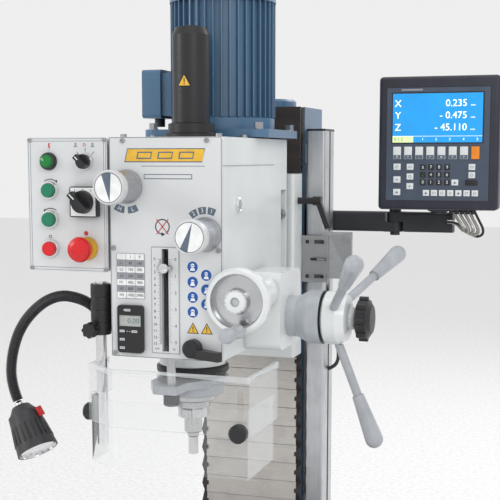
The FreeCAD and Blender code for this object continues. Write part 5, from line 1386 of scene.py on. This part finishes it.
@dataclass
class Lamp:
    """The work lamp: its ribbed hose, louvred shade, silver reflector and rocker switch."""

    plane: float = -76.0
    line: tuple[Pair, ...] = ((-126, -291.6), (-126, -279), (-142, -263), (-166, -253), (-198, -249.5),
                              (-234, -265), (-271, -303), (-289, -352), (-291.5, -400), (-279, -428))
    run: Vector = field(default_factory=lambda: Vector((0.52, -0.25, -0.82)).normalized())

    def build(self, frame: dict) -> None:
        """Models the hose and details the shade."""
        spots = [at(x, self.plane, z) for x, z in self.line]
        end = spots[-1]
        ball = end + (spots[-1] - spots[-2]).normalized() * 0.008
        hose = Shape()
        hose.tube(spots, 0.0093, HOSE, 20, 0.0016, 0.0034)
        hose.turned(at(self.line[0][0], self.plane, -292.4), Axis.Z.vector,
                    ((0, 0), (11.5, 0), (11.5, 6), (10, 8), (10, 12), (0, 12)), BLACK, 32)
        hose.turned(ball, Axis.Z.vector, [polar(8, angle) for angle in range(-90, 91, 15)], CHROME, 24)
        made = hose.piece("lamp_hose", "lamp_arm")
        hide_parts("lamp_gooseneck")
        neck = ball + self.run * 0.003
        dress(frame, "lamp_head", LAMP_GREY,
              (GLASS, lambda spot: (spot - neck).dot(self.run) > 0.0698 and self.away(spot, neck) < 0.0316),
              (CHROME, lambda spot: self.inner(spot, neck)))
        dress(frame, "lamp_switch", RED)
        # painted shade: thin black bars on the shade stand in for the dark openings of its slots
        slot_shades = Shape()
        side = self.run.orthogonal().normalized()
        across = self.run.cross(side)
        for step in range(20):
            turn = math.tau * step / 20
            out = side * math.cos(turn) + across * math.sin(turn)
            low, high = neck + self.run * 0.034 + out * 0.0284, neck + self.run * 0.064 + out * 0.0331
            slot_shades.bar(low, high, self.run.cross(out) * 0.0016, out * 0.0002)
        slot_shades.piece("lamp_shade_slots", "lamp_head")

    def away(self, spot: Vector, neck: Vector) -> float:
        """The distance from the shade's axis."""
        flat = spot - neck
        return (flat - self.run * flat.dot(self.run)).length

    def inner(self, spot: Vector, neck: Vector) -> bool:
        """Whether a face lies inside the shade."""
        height = (spot - neck).dot(self.run)
        return 0.0185 < height < 0.0799 and self.away(spot, neck) < 0.0245 + (height - 0.019) * 0.129


@dataclass
class SpindleGroup:
    """The quill with its collar, depth stop, chuck and both of its feeds."""

    feed: Vector = field(default_factory=lambda: at(0, 51, -285))
    pointer: Vector = field(default_factory=lambda: at(-0.5, -117.4, -197))
    wheel: Vector = field(default_factory=lambda: at(120, 0, -241))

    def build(self, frame: dict) -> None:
        """Dresses the quill's parts and the feeds, and prints their dials."""
        dress(frame, "quill", STEEL)
        dress(frame, "quill_collar", GRIP)
        dress(frame, "spindle", TURNED)
        dress(frame, "collet_chuck", TURNED, (DARK_STEEL, round_axis(Axis.Z, at(0, 0, 0), 0, 13, 480, 524)))
        dress(frame, "depth_stop", STEEL, (DARK_STEEL, within((-20, -250, 586), (20, -200, 606))))
        pointer = Shape()
        knurl = pointer.turned(self.pointer, -Axis.Y.vector,
                               ((0, 0), (7.4, 0), (7.8, 0.6), (7.8, 1.5), (7.8, 3.4), (7.2, 4.0), (4.2, 4.2),
                                (3.8, 3.4), (0, 3.4)), CHROME, 90)
        pointer.fluted(self.pointer, -Axis.Y.vector, knurl, 30, 0.5, 0.5, 3.6)
        pointer.piece("depth_pointer_screw", "quill")
        y, x = Axis.Y, Axis.X
        dress(frame, "feed_gearbox", FEED_WHITE, (SATIN_GREY, round_axis(x, self.feed, 0, 60, 150.5, 190)))
        dress(frame, "feed_hub", FEED_WHITE, (SATIN_GREY, round_axis(x, self.feed, 0, 90, 183, 206.5)),
              (INK_BLACK, round_axis(x, self.feed, 0, 90, 206.5, 208.2)),
              (STEEL, round_axis(x, self.feed, 0, 16, -100, 183)))
        dress_all(frame, GRIP, "feed_levers", "feed_grips")
        dress(frame, "clutch_knob", BLACK)
        dress(frame, "worm_wheel", BRASS)
        dress(frame, "fine_feed_wheel", STEEL,
              (FEED_WHITE, round_axis(y, self.wheel, 0, 16.2, -140, -99)),
              (DISH, round_axis(y, self.wheel, 16.2, 40.2, -140, -99)),
              (FEED_WHITE, round_axis(y, self.wheel, 41, 60, -140, -99)),
              (CHROME, round_axis(y, self.wheel, 0, 60, -81, -62)),
              (GRIP, within((112, -334, 703), (140, -269.2, 731))))
        self.ring("feed_dial_marks", "feed", self.feed, x, 196, FEED_DIAL_RADIUS, 60, 7)
        self.ring("fine_dial_marks", "fine_feed", self.wheel, y, -76, FINE_DIAL_RADIUS, 40, 6)

    @staticmethod
    def ring(name: str, body: str, centre: Vector, axis: Axis, height: float, radius: float,
             count: int, long: float) -> None:
        """Marks round a dial, a longer one at every fifth."""
        marks = Shape()
        side = axis.vector.orthogonal().normalized()
        across = axis.vector.cross(side)
        for step in range(count):
            turn = math.tau * step / count
            out = side * math.cos(turn) + across * math.sin(turn)
            half = long * (0.5 if step % 5 == 0 else 0.3)
            middle = centre + axis.vector * height * MM + out * radius * MM
            reach = axis.vector * half * MM
            marks.bar(middle - reach, middle + reach, axis.vector.cross(out) * 0.0002, out * 0.0001)
        marks.piece(name, body)


@dataclass
class Stage:
    """A pale floor, soft light from a studio and the camera."""

    eye: Vector = field(default_factory=lambda: Vector((0.64823, -1.79873, 0.97007)))
    yaw: float = 18.259
    pitch: float = 6.710
    lens: float = 80.38
    rise: float = 0.0766

    def build(self) -> None:
        """Sets the stage up."""
        self.floor()
        self.world()
        self.light("key_light", (1.9, -2.6, 2.4), 1.2, 22)
        self.light("left_light", (-2.6, -1.8, 1.7), 0.9, 16)
        self.light("rim_light", (1.2, 2.6, 2.6), 1.6, 24)
        self.light("top_light", (0.0, -0.4, 3.4), 1.6, 10)
        self.camera()
        bpy.context.scene.view_settings.view_transform = "Standard"

    def floor(self) -> None:
        """The plain floor under the machine."""
        ground = bmesh.new()
        bmesh.ops.create_grid(ground, x_segments=1, y_segments=1, size=14)
        data = bpy.data.meshes.new("floor")
        ground.to_mesh(data)
        ground.free()
        data.materials.append(Finish("floor_grey", (0.86, 0.86, 0.86), 0.7).material())
        made = bpy.data.objects.new("floor", data)
        bpy.context.collection.objects.link(made)

    def world(self) -> None:
        """White surroundings."""
        world = bpy.data.worlds.new("studio")
        world.use_nodes = True
        ground = world.node_tree.nodes["Background"]
        ground.inputs["Color"].default_value = (1, 1, 1, 1)
        ground.inputs["Strength"].default_value = 0.86
        bpy.context.scene.world = world

    def light(self, name: str, place: Sequence[float], size: float, power: float) -> None:
        """A soft square light that faces the machine."""
        lamp = bpy.data.lights.new(name, "AREA")
        lamp.size = size
        lamp.energy = power
        made = bpy.data.objects.new(name, lamp)
        made.location = place
        aim = Vector((0, -0.05, 0.75)) - Vector(place)
        made.rotation_euler = aim.to_track_quat("-Z", "Y").to_euler()
        bpy.context.collection.objects.link(made)

    def camera(self) -> None:
        """The camera, before and a little right of the machine."""
        yaw, pitch = math.radians(self.yaw), math.radians(self.pitch)
        ahead = Vector((-math.sin(yaw) * math.cos(pitch), math.cos(yaw) * math.cos(pitch), -math.sin(pitch)))
        data = bpy.data.cameras.new("camera")
        data.lens = self.lens
        data.sensor_width = 36
        data.shift_y = self.rise
        made = bpy.data.objects.new("camera", data)
        made.location = self.eye
        made.rotation_euler = ahead.to_track_quat("-Z", "Y").to_euler()
        bpy.context.collection.objects.link(made)
        bpy.context.scene.camera = made


def main() -> None:
    """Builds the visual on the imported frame."""
    logging.basicConfig(level=logging.INFO, format="%(name)s: %(message)s")
    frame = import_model()
    for group in (Castings(), Motor(), Panel(), ControlBox(), Readout(), Guard(), Lamp(), SpindleGroup()):
        group.build(frame)
        LOG.info("%s done", type(group).__name__)
    WayCovers().build()
    ScaleReader().build()
    Stage().build()


if __name__ == "__main__":
    main()
